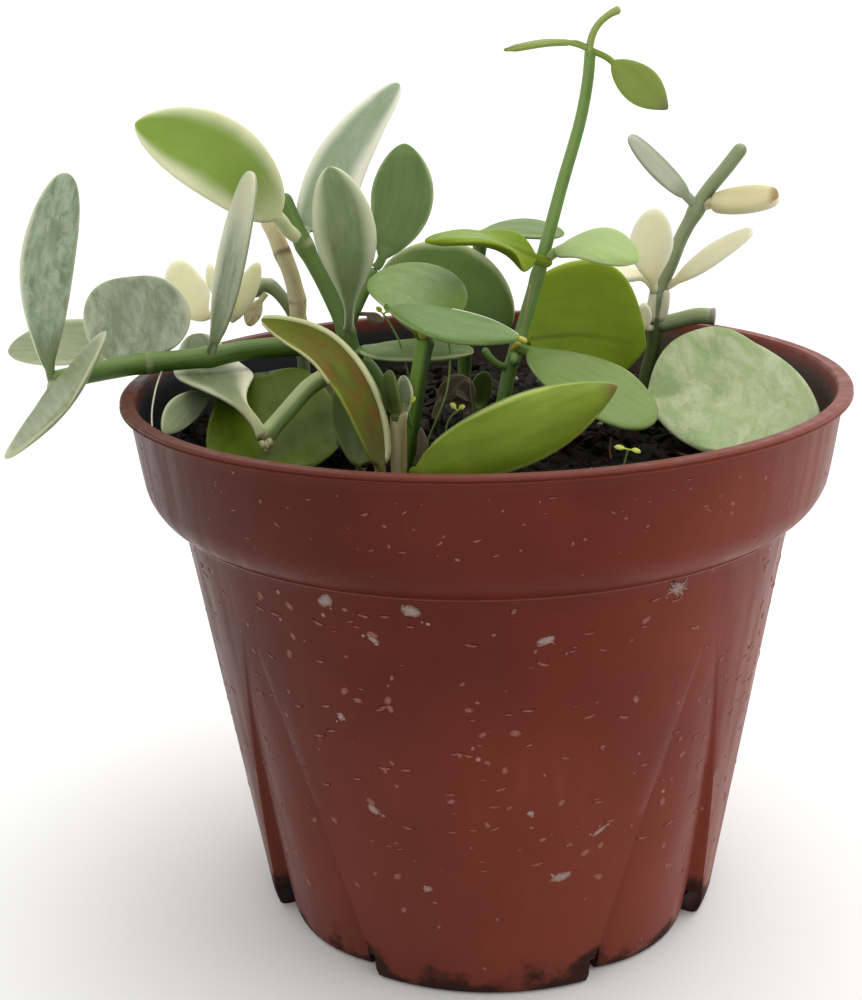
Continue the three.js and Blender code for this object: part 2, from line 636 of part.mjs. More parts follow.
        halves: [[1.15, 1.05], [0.62, 1.08]] },
    ],
  },
};

// The radius of what stands in the soil: a cutting's first stem, or the stalk of a lone leaf
const footRadius = ({ stems, leaves }) =>
  stems.length > 0 ? stems[0].radius : (leaves[0].stalk ?? STALK_RADIUS);

const model = new THREE.Group();
model.add(part("pot", pot(), finishes.pot));
const roots = Object.values(plants).map((plant) => [...plant.root, footRadius(plant)]);
model.add(part("soil", soil(roots), finishes.soil));
for (const [name, { stems, leaves, finish }] of Object.entries(plants)) {
  model.add(part(name, joined([...stems.map(stem), ...leaves.map(leaf)]), finish));
}

export default model;
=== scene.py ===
import json
import math

import bmesh
import bpy
import numpy as np
from mathutils import Matrix, Vector, noise


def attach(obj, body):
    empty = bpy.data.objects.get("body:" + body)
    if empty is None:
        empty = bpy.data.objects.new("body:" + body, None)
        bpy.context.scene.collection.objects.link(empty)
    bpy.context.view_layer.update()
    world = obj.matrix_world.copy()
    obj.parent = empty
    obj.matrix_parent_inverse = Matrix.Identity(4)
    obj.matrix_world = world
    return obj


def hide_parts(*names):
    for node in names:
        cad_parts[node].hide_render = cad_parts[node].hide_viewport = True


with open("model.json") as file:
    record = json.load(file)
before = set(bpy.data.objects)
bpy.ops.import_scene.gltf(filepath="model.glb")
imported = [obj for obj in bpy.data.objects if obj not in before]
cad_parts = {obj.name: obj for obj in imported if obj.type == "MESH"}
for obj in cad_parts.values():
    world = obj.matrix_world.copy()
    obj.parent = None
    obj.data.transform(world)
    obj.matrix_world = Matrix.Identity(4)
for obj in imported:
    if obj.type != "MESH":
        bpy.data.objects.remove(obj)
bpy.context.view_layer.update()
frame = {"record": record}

MM = 0.001

# Driving dimensions of the pot, as the solids have them
POT_HEIGHT = 82
WALL = 1.1
LIP_DROP = 0.9
COLLAR_BOTTOM = 64.1
BODY_TOP_RADIUS = 45.1
FOOT_RADIUS = 36
FOOT_CHAMFER = 1.1
FLOOR_TOP = 2.6
FOOT_RECESS = 1.4
FOOT_RING_INSIDE = 29
CENTRE_DISC_RADIUS = 9
CORNER_SINK = 2.6
CORNER_MIDDLE_SHARE = 0.45
CORNER_HALF_ANGLE = 20.5
CORNER_TOP_HALF_ANGLE = 2
CORNER_TOP = 54
PANEL_TURN = -2.4
DRAIN_WIDTH = 2.6
DRAIN_HEIGHT = 4.4
DRAIN_DEPTH = 9
DRAIN_FROM_CREASE = 2.5
# Rows of the wall, as radius and height: the step's underside with a fine bead along its edge, the
# collar, and the lip's underside, its two fine beads with a groove between them, and its round top
STEP_BEAD = ((45.3, 64.45), (46.1, 64.6), (46.5, 64.72), (46.66, 64.95), (46.6, 65.2))
COLLAR = ((46.3, 64.9), (48.2, 66.3), (49.6, 68.6), (50.2, 71.6), (51.3, POT_HEIGHT - LIP_DROP))
LIP = (
    (51.5, 80.95), (52.1, 80.98), (52.35, 81.06), (52.5, 81.2), (52.46, 81.33), (52.3, 81.42), (52.28, 81.5),
    (52.42, 81.6), (52.44, 81.74), (52.3, 81.9), (52.05, 82), (51.75, 81.96), (51.2, 81.92), (50.8, 81.96),
    (50.55, 81.92), (50.42, 81.75),
)

# Where grime, painted shade and painted highlights lie on the pot
CREASE_GRIME_AND_SHADE_WIDTH = 1.6
CREASE_GRIME_AND_SHADE_TOP = 14
# Painted highlights: a pale line along the step's edge and a pale top on the lip
STEP_EDGE = 64.75
STEP_HIGHLIGHT = 0.45
STEP_HIGHLIGHT_WIDTH = 0.13
LIP_HIGHLIGHT = 0.12
# Small marks stand this far off the wall
MARK_LIFT = 0.02
# For the plastic's finish, in metres: from and to, and what the effect is there
COLLAR_TONE = (0.062, 0.066, 1, 0.92)
# Painted light: the plastic darker towards the left and lighter towards the right
PAINTED_SIDE_LIGHT = (-0.05, 0.05, 0.5, 1.5)
# Paler towards the foot, and a pale tint over the right side as painted light
LOW_PALER = (0.055, 0.008, 0, 0.28)
RIGHT_PAINTED_LIGHT = (0.012, 0.04, 0, 0.28)
# Grime along the foot, climbing the creases where it is painted shade as well
FOOT_GRIME_AND_CREASE_SHADE = (-0.0085, -0.0045, 0.9, 0)
DIRT_CLIMB = -0.018
CREASE_CLIMB = -0.009
# The inside darkened below the lip by staining and painted shade, painted darkest on the left
INSIDE_STAIN_AND_SHADE = (0.0812, 0.0792, 0, 0.95)
INSIDE_SHADE_LEFT_TO_RIGHT = (-0.02, 0.035)

# Driving dimensions of the soil
SOIL_TOP = 73
SOIL_RELIEF = 0.7
CLOD_RELIEF = 0.75
SOIL_CLEAR = 1.8
ROOT_DEPTH = 8
GAP = 0.3

# The form of stems and leaves: how far a node swells along its stem, how nearly a dome shuts, the
# shares of a blade where its halves are given, its rounded tip, its twist, and its rib's half width
NODE_LENGTH = 1.3
DOME_SHUT = 0.97
HALVES_AT = (0.2, 0.8)
TIP_SHARE = 0.03
TWIST_END = 0.45
RIB_WIDTH = 0.6
# A blade's section is an ellipse at 1 and fuller below it
BLADE_FULLNESS = 0.8

# How finely the pieces are drawn
PANEL_STEPS = 26
CREASE_STEPS = 4
CORNER_STEPS = 14
FOOT_ROWS = 6
BODY_ROWS = 44
COLLAR_ROWS = 22
PATCH_ROWS = 24
SOIL_SIDES = 180
SOIL_ROWS = 46
STEM_SIDES = 16
STEM_STEP = 0.8
BLADE_SIDES = 28
BLADE_STEPS = 40
STALK_STEPS = 8
DOME_STEPS = 5
LINE_STEPS = 40

# The camera, from the ellipses that the pot draws in the photograph
CAMERA_PLACE = Vector((0, -200, 127.1)) * MM
CAMERA_PAN = -0.048
CAMERA_TILT = 0.336
CAMERA_ROLL = -0.032
CAMERA_LENS = 49.74
CAMERA_SHIFT = (0.0093, 0.034)

# The light: a sky that is dim in front and bright behind on the right, and a key from above
BRIGHT_SIDE = Vector((0.45, 0.85, 0.25))
SKY_DIM = 0.62
SKY_BRIGHT = 1.25
SKY_TURN = (-0.85, 0.4)
KEY_WAY = Vector((-0.35, -0.2, -1))
KEY_POWER = 1.1
FLOOR_COLOUR = "#efefed"
FLOOR_RADIUS = 4

# The side of a stem that is painted paler, as painted light
PAINTED_LIT_SIDE = np.array([-0.7, -0.35, 0.62])


# Colours and nodes

SOFTLY = {"interpolation_type": "SMOOTHSTEP"}


def linear(hex_colour):
    """An sRGB hex colour as the linear colour that a shader takes."""
    channels = [int(hex_colour[start:start + 2], 16) / 255 for start in (1, 3, 5)]
    return (*[c / 12.92 if c <= 0.04045 else ((c + 0.055) / 1.055) ** 2.4 for c in channels], 1)


def give(tree, socket, value):
    """Links a socket to another one, or sets it to a value or to a hex colour."""
    if isinstance(value, bpy.types.NodeSocket):
        tree.links.new(value, socket)
    else:
        is_colour = isinstance(value, str) and value.startswith("#")
        socket.default_value = linear(value) if is_colour else value


def add(tree, kind, inputs=(), out=0, **settings):
    """Adds a node with its settings. Its inputs are given by name or place, or as a row from the
    first one on. Gives one of its outputs, or the node itself if out is None."""
    made = tree.nodes.new(kind)
    for name, value in settings.items():
        setattr(made, name, value)
    for name, value in (inputs if isinstance(inputs, dict) else dict(enumerate(inputs))).items():
        give(tree, made.inputs[name], value)
    return made if out is None else made.outputs[out]


def new_material(name):
    """A material, its tree, its shader, and the place on its object in metres."""
    material = bpy.data.materials.new(name)
    material.use_nodes = True
    tree = material.node_tree
    tree.nodes.clear()
    shader = add(tree, "ShaderNodeBsdfPrincipled", out=None)
    add(tree, "ShaderNodeOutputMaterial", {"Surface": shader.outputs[0]}, out=None)
    return material, tree, shader, add(tree, "ShaderNodeTexCoord", out="Object")


def dress(tree, shader, colour, layers, reliefs, **skin):
    """Gives a shader its skin. Each layer is a share and the colour that covers what lies below it
    by that share. Each relief is a height, its strength and its depth in metres, from fine to
    coarse. The rest are the shader's own inputs, with their spaces written as underlines."""
    for share, tint in layers:
        colour = add(tree, "ShaderNodeMix", {"Factor": share, 6: colour, 7: tint}, 2, data_type="RGBA")
    give(tree, shader.inputs["Base Color"], colour)
    normal = shader.inputs["Normal"]
    for height, strength, depth in reversed(reliefs):
        bump = add(tree, "ShaderNodeBump", {"Height": height, "Strength": strength, "Distance": depth}, None)
        tree.links.new(bump.outputs[0], normal)
        normal = bump.inputs["Normal"]
    for name, value in skin.items():
        give(tree, shader.inputs[name.replace("_", " ")], value)


def new_object(name, data):
    made = bpy.data.objects.new(name, data)
    bpy.context.scene.collection.objects.link(made)
    return made


def from_bmesh(name, made):
    mesh = bpy.data.meshes.new(name)
    made.to_mesh(mesh)
    made.free()
    return new_object(name, mesh)


def mark_points(mesh, name, values):
    """Stores a number for each point of a mesh, for its material to read."""
    layer = mesh.attributes.new(name, "FLOAT", "POINT")
    layer.data.foreach_set("value", np.ravel(values).astype(np.float32))


def evaluated_mesh(piece):
    """What an object's modifiers make of its mesh."""
    return bpy.data.meshes.new_from_object(piece.evaluated_get(bpy.context.evaluated_depsgraph_get()))


def smooth(value, low=0, high=1):
    """From 0 at low to 1 at high with level ends."""
    share = np.clip((value - low) / (high - low), 0, 1)
    return share * share * (3 - 2 * share)


def follow(points, shares):
    """Places and directions at shares, from 0 to 1, of the smooth line through the points."""
    spans = len(points) - 1
    row = np.array(points, float)
    row = np.vstack([2 * row[0] - row[1], row, 2 * row[-1] - row[-2]])
    place = np.clip(shares, 0, 1) * spans
    first = np.minimum(place.astype(int), spans - 1)
    t = (place - first)[:, None]
    a, b, c, d = (row[first + step] for step in range(4))
    bend, twist = 2 * a - 5 * b + 4 * c - d, 3 * b - a - 3 * c + d
    slope = 0.5 * (c - a + 2 * bend * t + 3 * twist * t ** 2)
    centre = 0.5 * (2 * b + (c - a) * t + bend * t ** 2 + twist * t ** 3)
    return centre, slope / np.linalg.norm(slope, axis=1)[:, None]


def tube_faces(rows, sides, first=0):
    """The faces between rings of equal length, row by row, and the two that close their ends."""
    index = np.arange(rows * sides).reshape(rows, sides) + first
    ahead = np.roll(index, -1, axis=1)
    quads = np.stack([index[:-1], ahead[:-1], ahead[1:], index[1:]], axis=-1)
    return quads, [index[0, ::-1].tolist(), index[-1].tolist()]


def skins(name, *tubes):
    """A mesh of closed skins, each over rings of equal length, in metres."""
    points, faces = np.zeros((0, 3)), []
    for rings in map(np.array, tubes):
        quads, ends = tube_faces(*rings.shape[:2], len(points))
        faces += quads.reshape(-1, 4).tolist() + ends
        points = np.vstack([points, rings.reshape(-1, 3)])
    mesh = bpy.data.meshes.new(name)
    mesh.from_pydata((points * MM).tolist(), [], faces)
    return mesh


# The pot

def plastic_colour(tree, place):
    """The colour of the plastic where nothing lies on it, and the clouds of tone in it. As painted
    light, the colour is darkened towards the left and lightened towards the right, and a pale tint
    over the right side is painted light too. The collar is a touch darker, and the colour is paler
    towards the foot."""
    spot = add(tree, "ShaderNodeSeparateXYZ", (place,), None).outputs
    # Clouds some 20 mm across
    cloud = add(tree, "ShaderNodeTexNoise", {"Vector": place, "Scale": 42, "Detail": 3, "Roughness": 0.55})
    tone = add(tree, "ShaderNodeMapRange", (cloud, 0.3, 0.7), **SOFTLY)
    colour = add(tree, "ShaderNodeMix", {"Factor": tone, 6: "#561c0e", 7: "#622212"}, 2, data_type="RGBA")
    collar = add(tree, "ShaderNodeMapRange", (spot[2], *COLLAR_TONE))
    # Painted light: the colour is scaled from half on the left to half again on the right
    fade = add(tree, "ShaderNodeMapRange", (spot[0], *PAINTED_SIDE_LIGHT))
    fade = add(tree, "ShaderNodeMath", (fade, collar), operation="MULTIPLY")
    side_lit_colour = add(tree, "ShaderNodeVectorMath", {0: colour, "Scale": fade}, operation="SCALE")
    # Paler towards the foot, and a pale tint laid over the right side as painted light
    low = add(tree, "ShaderNodeMapRange", (spot[2], *LOW_PALER))
    right = add(tree, "ShaderNodeMapRange", (spot[0], *RIGHT_PAINTED_LIGHT))
    paler_foot_and_lit_right = add(tree, "ShaderNodeMath", (low, right), operation="MAXIMUM")
    return add(tree, "ShaderNodeMix", {"Factor": paler_foot_and_lit_right, 6: side_lit_colour, 7: "#8b4636"}, 2, data_type="RGBA"), cloud


def pot_finish():
    """Injection-moulded polypropylene, brick red with a satin skin. Old watering has left it with
    dust in clouds, pale specks, faint runs and black grime along its foot, which climbs the
    creases as painted shade as well. The step's edge and the lip's top are painted pale as
    painted highlights, and the inside is stained and darkened with painted shade."""
    material, tree, shader, place = new_material("moulded_polypropylene")
    spot = add(tree, "ShaderNodeSeparateXYZ", (place,), None).outputs
    # Masks on the mesh: the creases, the inside, and the painted highlights on the step's edge and the lip
    crease, inside, painted_highlight = (
        add(tree, "ShaderNodeAttribute", out="Fac", attribute_name=name)
        for name in ("crease", "inside", "painted_highlight"))
    colour, cloud = plastic_colour(tree, place)

    # Faint runs of dried water, 2 mm wide and 40 mm long
    runs = add(tree, "ShaderNodeMapping", {0: place, "Scale": (420, 420, 22)})
    run = add(tree, "ShaderNodeTexNoise", {"Vector": runs, "Scale": 1, "Detail": 4})
    haze = add(tree, "ShaderNodeMath", (run, cloud), operation="MULTIPLY")
    haze = add(tree, "ShaderNodeMapRange", (haze, 0.28, 0.48, 0, 0.08), **SOFTLY)

    # Pale specks about 0.4 mm across, 4 mm apart, where the dust noise lets them show
    speck = add(tree, "ShaderNodeTexVoronoi", {"Vector": place, "Scale": 260}, feature="F1")
    dot = add(tree, "ShaderNodeMapRange", (speck, 0.05, 0.1, 1, 0))
    dust = add(tree, "ShaderNodeTexNoise", {"Vector": place, "Scale": 90, "Detail": 2})
    shown = add(tree, "ShaderNodeMapRange", (dust, 0.52, 0.62, 0, 0.5))
    dot = add(tree, "ShaderNodeMath", (dot, shown), operation="MULTIPLY")

    # Grime climbs some 3 mm up from the foot, in patches, and higher along the creases, where the darkening
    # is painted shade as well as grime
    climb = add(tree, "ShaderNodeTexNoise", {"Vector": place, "Scale": 150, "Detail": 5, "Roughness": 0.65})
    level = add(tree, "ShaderNodeMath", (climb, DIRT_CLIMB, spot[2]), operation="MULTIPLY_ADD")
    level = add(tree, "ShaderNodeMath", (crease, CREASE_CLIMB, level), operation="MULTIPLY_ADD")
    grime_and_crease_shade = add(tree, "ShaderNodeMapRange", (level, *FOOT_GRIME_AND_CREASE_SHADE), **SOFTLY)

    # Wet soil has stained the inside, and painted shade darkens it, up to 2 mm below the lip. It
    # is painted darkest on the left, where shade falls, and a paler brown on the right.
    inside_stain_and_shade = add(tree, "ShaderNodeMapRange", (spot[2], *INSIDE_STAIN_AND_SHADE), **SOFTLY)
    inside_stain_and_shade = add(tree, "ShaderNodeMath", (inside_stain_and_shade, inside), operation="MULTIPLY")
    paler_right_share = add(tree, "ShaderNodeMapRange", (spot[0], *INSIDE_SHADE_LEFT_TO_RIGHT))
    inside_stain_and_shade_colour = add(tree, "ShaderNodeMix", {"Factor": paler_right_share, 6: "#262a2b", 7: "#5a4c45"}, 2, data_type="RGBA")

    # The skin is finely pitted from the mould, a quarter of a millimetre apart
    pits = add(tree, "ShaderNodeTexNoise", {"Vector": place, "Scale": 2200, "Detail": 2})
    gloss = add(tree, "ShaderNodeMapRange", (run, 0.3, 0.7, 0.3, 0.5))
    dull = add(tree, "ShaderNodeMath", (grime_and_crease_shade, 0.4, gloss), operation="MULTIPLY_ADD")
    dress(
        tree, shader, colour,
        [(haze, "#96604f"), (dot, "#c09a8c"), (painted_highlight, "#9a5a48"), (grime_and_crease_shade, "#241611"), (inside_stain_and_shade, inside_stain_and_shade_colour)],
        [(pits, 0.25, 0.0001), (cloud, 0.3, 0.0008)], Roughness=dull, IOR=1.49, Specular_IOR_Level=0.13,
    )
    return material


def perlite_finish():
    """Puffed volcanic glass that has taken up the colour of the soil: chalky, dry and matt."""
    material, tree, shader, place = new_material("stained_perlite")
    # Bubbles about 0.3 mm across
    bubbles = add(tree, "ShaderNodeTexNoise", {"Vector": place, "Scale": 3000, "Detail": 3})
    dress(tree, shader, "#6d625a", [(bubbles, "#a39a90")], [(bubbles, 0.6, 0.0002)], Roughness=0.9)
    return material


def mark_finish(name, pale, strength):
    """A mark on the pot's skin that thins out to the colour of the plastic at its edges. Dried
    lime is chalky and off white, plastic whitened by scuffing is only paler than its skin."""
    material, tree, shader, place = new_material(name)
    skin_colour, _ = plastic_colour(tree, place)
    cover = add(tree, "ShaderNodeAttribute", out="Fac", attribute_name="cover")
    # Flecks about 0.3 mm across
    flecks = add(tree, "ShaderNodeTexNoise", {"Vector": place, "Scale": 2600, "Detail": 3, "Roughness": 0.6})
    share = add(tree, "ShaderNodeMath", (cover, flecks), operation="MULTIPLY")
    share = add(tree, "ShaderNodeMapRange", (share, 0.04, 0.6, 0, strength), **SOFTLY)
    dry = add(tree, "ShaderNodeMapRange", (share, 0, 1, 0.45, 0.9))
    dress(tree, shader, skin_colour, [(share, pale)], [(flecks, 0.4, 0.0001)], Roughness=dry,
          Specular_IOR_Level=0.12)
    return material


def corner_share(z):
    return np.clip(1 - z / CORNER_TOP, 0, 1)


def corner_half_angle(z):
    return CORNER_TOP_HALF_ANGLE + (CORNER_HALF_ANGLE - CORNER_TOP_HALF_ANGLE) * corner_share(z)


def wall_sink(z, off):
    """How far the wall is sunk at a height, off degrees from the middle of a corner."""
    half = corner_half_angle(z)
    across = np.clip(off / (half - 1), 0, 1)
    shape = CORNER_MIDDLE_SHARE + (1 - CORNER_MIDDLE_SHARE) * across ** 2
    return CORNER_SINK * corner_share(z) ** 1.4 * shape * smooth(half - off)


def body_radius(z):
    return FOOT_RADIUS + (BODY_TOP_RADIUS - FOOT_RADIUS) * z / COLLAR_BOTTOM


def wall_radius(z):
    """The radius of the body or of the collar at a height, where it isn't sunk."""
    radii, heights = zip(*COLLAR)
    return np.where(z < COLLAR_BOTTOM, body_radius(z), np.interp(z, heights, radii))


def wall_ring(radius, z, sunk=1):
    """One turn of the wall: four broad panels, and four corners with a crease on each side."""
    half = corner_half_angle(z)
    broad = 45 - half
    corner = half - 1
    crease = np.linspace(broad, 45 - corner, CREASE_STEPS + 1)[1:-1]
    quarter = np.concatenate([
        np.linspace(-broad, broad, PANEL_STEPS + 1),
        crease,
        np.linspace(45 - corner, 45 + corner, CORNER_STEPS + 1),
        90 - crease[::-1],
    ])
    reach = np.tile(radius - wall_sink(z, np.abs(quarter - 45)) * sunk, 4)
    angles = np.radians(np.concatenate([quarter + 90 * turn for turn in range(4)]) + PANEL_TURN)
    return np.stack([reach * np.sin(angles), -reach * np.cos(angles), np.full_like(reach, z)], axis=1)


def drain_boxes():
    """The eight notches at the feet of the creases, as boxes to cut with."""
    made = bmesh.new()
    size = Matrix.Diagonal((DRAIN_WIDTH * MM, DRAIN_DEPTH * MM, DRAIN_HEIGHT * 2 * MM, 1))
    forward = Matrix.Translation((0, -(FOOT_RADIUS - FOOT_CHAMFER) * MM, 0))
    for quarter in range(4):
        for side in (-1, 1):
            angle = PANEL_TURN + 90 * quarter + 45 + side * (CORNER_HALF_ANGLE - DRAIN_FROM_CREASE)
            turn = Matrix.Rotation(math.radians(angle), 4, "Z")
            bmesh.ops.create_cube(made, size=1, matrix=turn @ forward @ size)
    return from_bmesh("drain_boxes", made)


def pot():
    """The pot: tapered body with sunk corners, a step, a collar and a beaded lip."""
    rows = [
        (CENTRE_DISC_RADIUS, 0, 0), (CENTRE_DISC_RADIUS + FOOT_RECESS, FOOT_RECESS, 0),
        (FOOT_RING_INSIDE - FOOT_RECESS, FOOT_RECESS, 0), (FOOT_RING_INSIDE, 0, 0),
    ]
    for turn in np.linspace(0, math.pi / 2, FOOT_ROWS):
        inwards, up = FOOT_CHAMFER * (1 - math.sin(turn)), FOOT_CHAMFER * (1 - math.cos(turn))
        rows.append((FOOT_RADIUS - inwards, up, 1))
    heights = np.linspace(FOOT_CHAMFER + 0.6, COLLAR_BOTTOM, BODY_ROWS)
    rows += [(body_radius(z), z, 1) for z in heights]
    curve, _ = follow([(radius, 0, z) for radius, z in COLLAR], np.linspace(0.12, 1, COLLAR_ROWS))
    rows += [(radius, z, 0) for radius, z in (*STEP_BEAD, *curve[:, ::2], *LIP)]
    rows += [(radius - WALL, z + GAP, 0) for radius, _, z in curve[::-2]]
    rows += [(body_radius(z) - WALL, z, 1) for z in heights[2:][::-2]]
    rows.append((FOOT_RADIUS - WALL - FOOT_CHAMFER, FLOOR_TOP, 1))
    shell = new_object("nursery_pot", skins("nursery_pot", [wall_ring(*row) for row in rows]))
    boxes = drain_boxes()
    cut = shell.modifiers.new("drains", "BOOLEAN")
    cut.operation = "DIFFERENCE"
    cut.solver = "EXACT"
    cut.object = boxes
    mesh = evaluated_mesh(shell)
    shell.modifiers.remove(cut)
    bpy.data.objects.remove(boxes)
    shell.data = mesh
    mesh.materials.clear()
    mesh.materials.append(pot_finish())
    mesh.shade_smooth()
    mesh.set_sharp_from_angle(angle=math.radians(40))
    places = np.zeros(len(mesh.vertices) * 3)
    mesh.vertices.foreach_get("co", places)
    x, y, z = places.reshape(-1, 3).T / MM
    off = np.abs((np.degrees(np.arctan2(x, -y)) - PANEL_TURN) % 90 - 45)
    apart = np.radians(corner_half_angle(z) - off) * np.hypot(x, y)
    # How near each point is to a crease near the foot, where grime and painted shade darken the wall
    mark_points(mesh, "crease", np.exp(-(apart / CREASE_GRIME_AND_SHADE_WIDTH) ** 2) * smooth(-z, -CREASE_GRIME_AND_SHADE_TOP, 0))
    outer = wall_radius(z) - wall_sink(z, off)
    mark_points(mesh, "inside", (np.hypot(x, y) < outer - WALL / 2) & (z > FLOOR_TOP - 0.1))
    # Painted highlights: a thin pale line along the step's edge and a pale top on the lip
    painted_highlight = STEP_HIGHLIGHT * np.exp(-((z - STEP_EDGE) / STEP_HIGHLIGHT_WIDTH) ** 2)
    mark_points(mesh, "painted_highlight", painted_highlight + LIP_HIGHLIGHT * smooth(z, POT_HEIGHT - 1.2, POT_HEIGHT - 0.8))
    return shell


# Bits that lie strewn over a surface

def grain(name, size, rough, seed, rounds=1):
    """A small ball, squeezed and knocked out of shape, to be strewn."""
    made = bmesh.new()
    bmesh.ops.create_icosphere(made, subdivisions=rounds, radius=1)
    for vertex in made.verts:
        push = noise.noise(vertex.co * 1.3 + Vector((seed, 2 * seed, 0.5))) * rough
        vertex.co = vertex.co * (1 + push)
        for axis in range(3):
            vertex.co[axis] *= size[axis] / 2 * MM
    return from_bmesh(name, made)


def strewing():
    """The node tree that strews copies of a grain over a surface."""
    tree = bpy.data.node_groups.new("strewing", "GeometryNodeTree")
    for label, kind in (
        ("Surface", "Geometry"), ("Grain", "Object"), ("Per square metre", "Float"), ("Seed", "Int"),
        ("Smallest", "Float"), ("Largest", "Float"), ("Tilt", "Float"), ("Spin", "Float"),
        ("Finish", "Material"),
    ):
        tree.interface.new_socket(label, in_out="INPUT", socket_type=f"NodeSocket{kind}")
    tree.interface.new_socket("Strewn", in_out="OUTPUT", socket_type="NodeSocketGeometry")
    given = add(tree, "NodeGroupInput", out=None).outputs
    seed = given["Seed"]
    spots = add(tree, "GeometryNodeDistributePointsOnFaces", {
        "Mesh": given["Surface"], "Density": given["Per square metre"], "Seed": seed}, None).outputs
    highest = add(tree, "ShaderNodeCombineXYZ", (given["Tilt"], given["Tilt"], given["Spin"]))
    lowest = add(tree, "ShaderNodeVectorMath", {0: highest, "Scale": -1}, operation="SCALE")
    turn = add(tree, "FunctionNodeRandomValue", {0: lowest, 1: highest, "Seed": seed},
               data_type="FLOAT_VECTOR")
    pose = add(tree, "FunctionNodeRotateRotation", {"Rotation": spots["Rotation"], "Rotate By": turn},
               rotation_space="LOCAL")
    size = add(tree, "FunctionNodeRandomValue", {2: given["Smallest"], 3: given["Largest"], "Seed": seed}, 1,
               data_type="FLOAT")
    one = add(tree, "GeometryNodeObjectInfo", {"Object": given["Grain"]}, "Geometry")
    copies = add(tree, "GeometryNodeInstanceOnPoints", {
        "Points": spots["Points"], "Instance": one, "Rotation": pose, "Scale": size})
    shade = add(tree, "FunctionNodeRandomValue", {"Seed": seed}, 1, data_type="FLOAT")
    shaded = add(tree, "GeometryNodeStoreNamedAttribute", {
        "Geometry": copies, "Name": "shade", "Value": shade}, data_type="FLOAT", domain="INSTANCE")
    real = add(tree, "GeometryNodeRealizeInstances", (shaded,))
    done = add(tree, "GeometryNodeSetMaterial", {"Geometry": real, "Material": given["Finish"]})
    add(tree, "NodeGroupOutput", (done,), None)
    return tree


STREWING = strewing()


def strew(name, surface, lump, density, seed, sizes, tilt, finish, spin=math.pi):
    """Copies of a lump all over a surface, as one piece. Density counts them on a square metre.
    Tilt tips them off the surface and spin turns them on it, each by an angle at most."""
    carrier = new_object(name, surface.copy())
    modifier = carrier.modifiers.new("strewing", "NODES")
    modifier.node_group = STREWING
    values = {
        "Grain": lump, "Per square metre": density, "Seed": seed, "Smallest": sizes[0],
        "Largest": sizes[1], "Tilt": tilt, "Spin": spin, "Finish": finish,
    }
    for socket in STREWING.interface.items_tree:
        if socket.in_out == "INPUT" and socket.name in values:
            modifier[socket.identifier] = values[socket.name]
    mesh = evaluated_mesh(carrier)
    carrier.modifiers.remove(modifier)
    carrier.data = mesh
    mesh.shade_smooth()
    bpy.data.objects.remove(lump)
    return carrier


def wall_patch(low, high):
    """The outside of the body or the collar between two heights, to strew marks over. It leaves
    out the creases, which marks would stand off."""
    rings = np.array([wall_ring(wall_radius(z) + MARK_LIFT, z) for z in np.linspace(low, high, PATCH_ROWS)])
    quads, _ = tube_faces(*rings.shape[:2])
    quarter = rings.shape[1] // 4
    step = np.arange(4 * quarter) % quarter
    level = (step < PANEL_STEPS) | (step >= PANEL_STEPS + CREASE_STEPS) & (step < quarter - CREASE_STEPS)
    mesh = bpy.data.meshes.new("wall_patch")
    mesh.from_pydata((rings.reshape(-1, 3) * MM).tolist(), [], quads[:, level].reshape(-1, 4).tolist())
    return mesh


# Rings of a speck and of a crust, from the edge in: share of its reach, height and cover
SPECK_RINGS = ((1, -0.04, 0), (0.6, 0.02, 0.7), (0.2, 0.04, 1))
CRUST_RINGS = ((1.15, -0.05, 0), (0.8, 0.04, 0.6), (0.4, 0.08, 1))


def scuff_grain(radius=2.4, sweep=1, width=0.9, thick=0.04, steps=8):
    """A shallow arc about 2.4 mm long, such as a nail leaves in a plastic wall."""
    rows, cover = [], []
    for share in np.linspace(0, 1, steps + 1):
        angle = (share - 0.5) * sweep
        half = width / 2 * math.sin(math.pi * (0.08 + 0.84 * share)) ** 0.7
        rows.append([
            (out * math.sin(angle), radius - out * math.cos(angle), rise)
            for out, rise in ((radius - half, -thick), (radius, thick), (radius + half, -thick))
        ])
        cover.append((0, math.sin(math.pi * share) ** 0.5, 0))
    mesh = skins("scuff_grain", rows)
    mark_points(mesh, "cover", cover)
    return new_object("scuff_grain", mesh)


def speck_grain(sides=9, radius=0.5, uneven=0.15, wide=1.2):
    """A flat drop about 1 mm across, thin at its edge."""
    angles = np.arange(sides) * 2 * math.pi / sides
    reach = radius * (1 + uneven * np.sin(2 * angles + 1))
    rings, cover = [], []
    for share, rise, shown in SPECK_RINGS:
        place = (reach * share * np.cos(angles) * wide, reach * share * np.sin(angles), np.full(sides, rise))
        rings.append(np.stack(place, axis=1))
        cover.append([shown] * sides)
    mesh = skins("speck_grain", rings)
    mark_points(mesh, "cover", cover)
    return new_object("speck_grain", mesh)


def on_wall(azimuth, z, lift=0):
    """A point on the outside of the wall, at degrees from the front and a height."""
    middle = (azimuth - PANEL_TURN) % 90
    reach = wall_radius(z) - wall_sink(z, abs(middle - 45)) + lift
    return reach * math.sin(math.radians(azimuth)), -reach * math.cos(math.radians(azimuth)), z


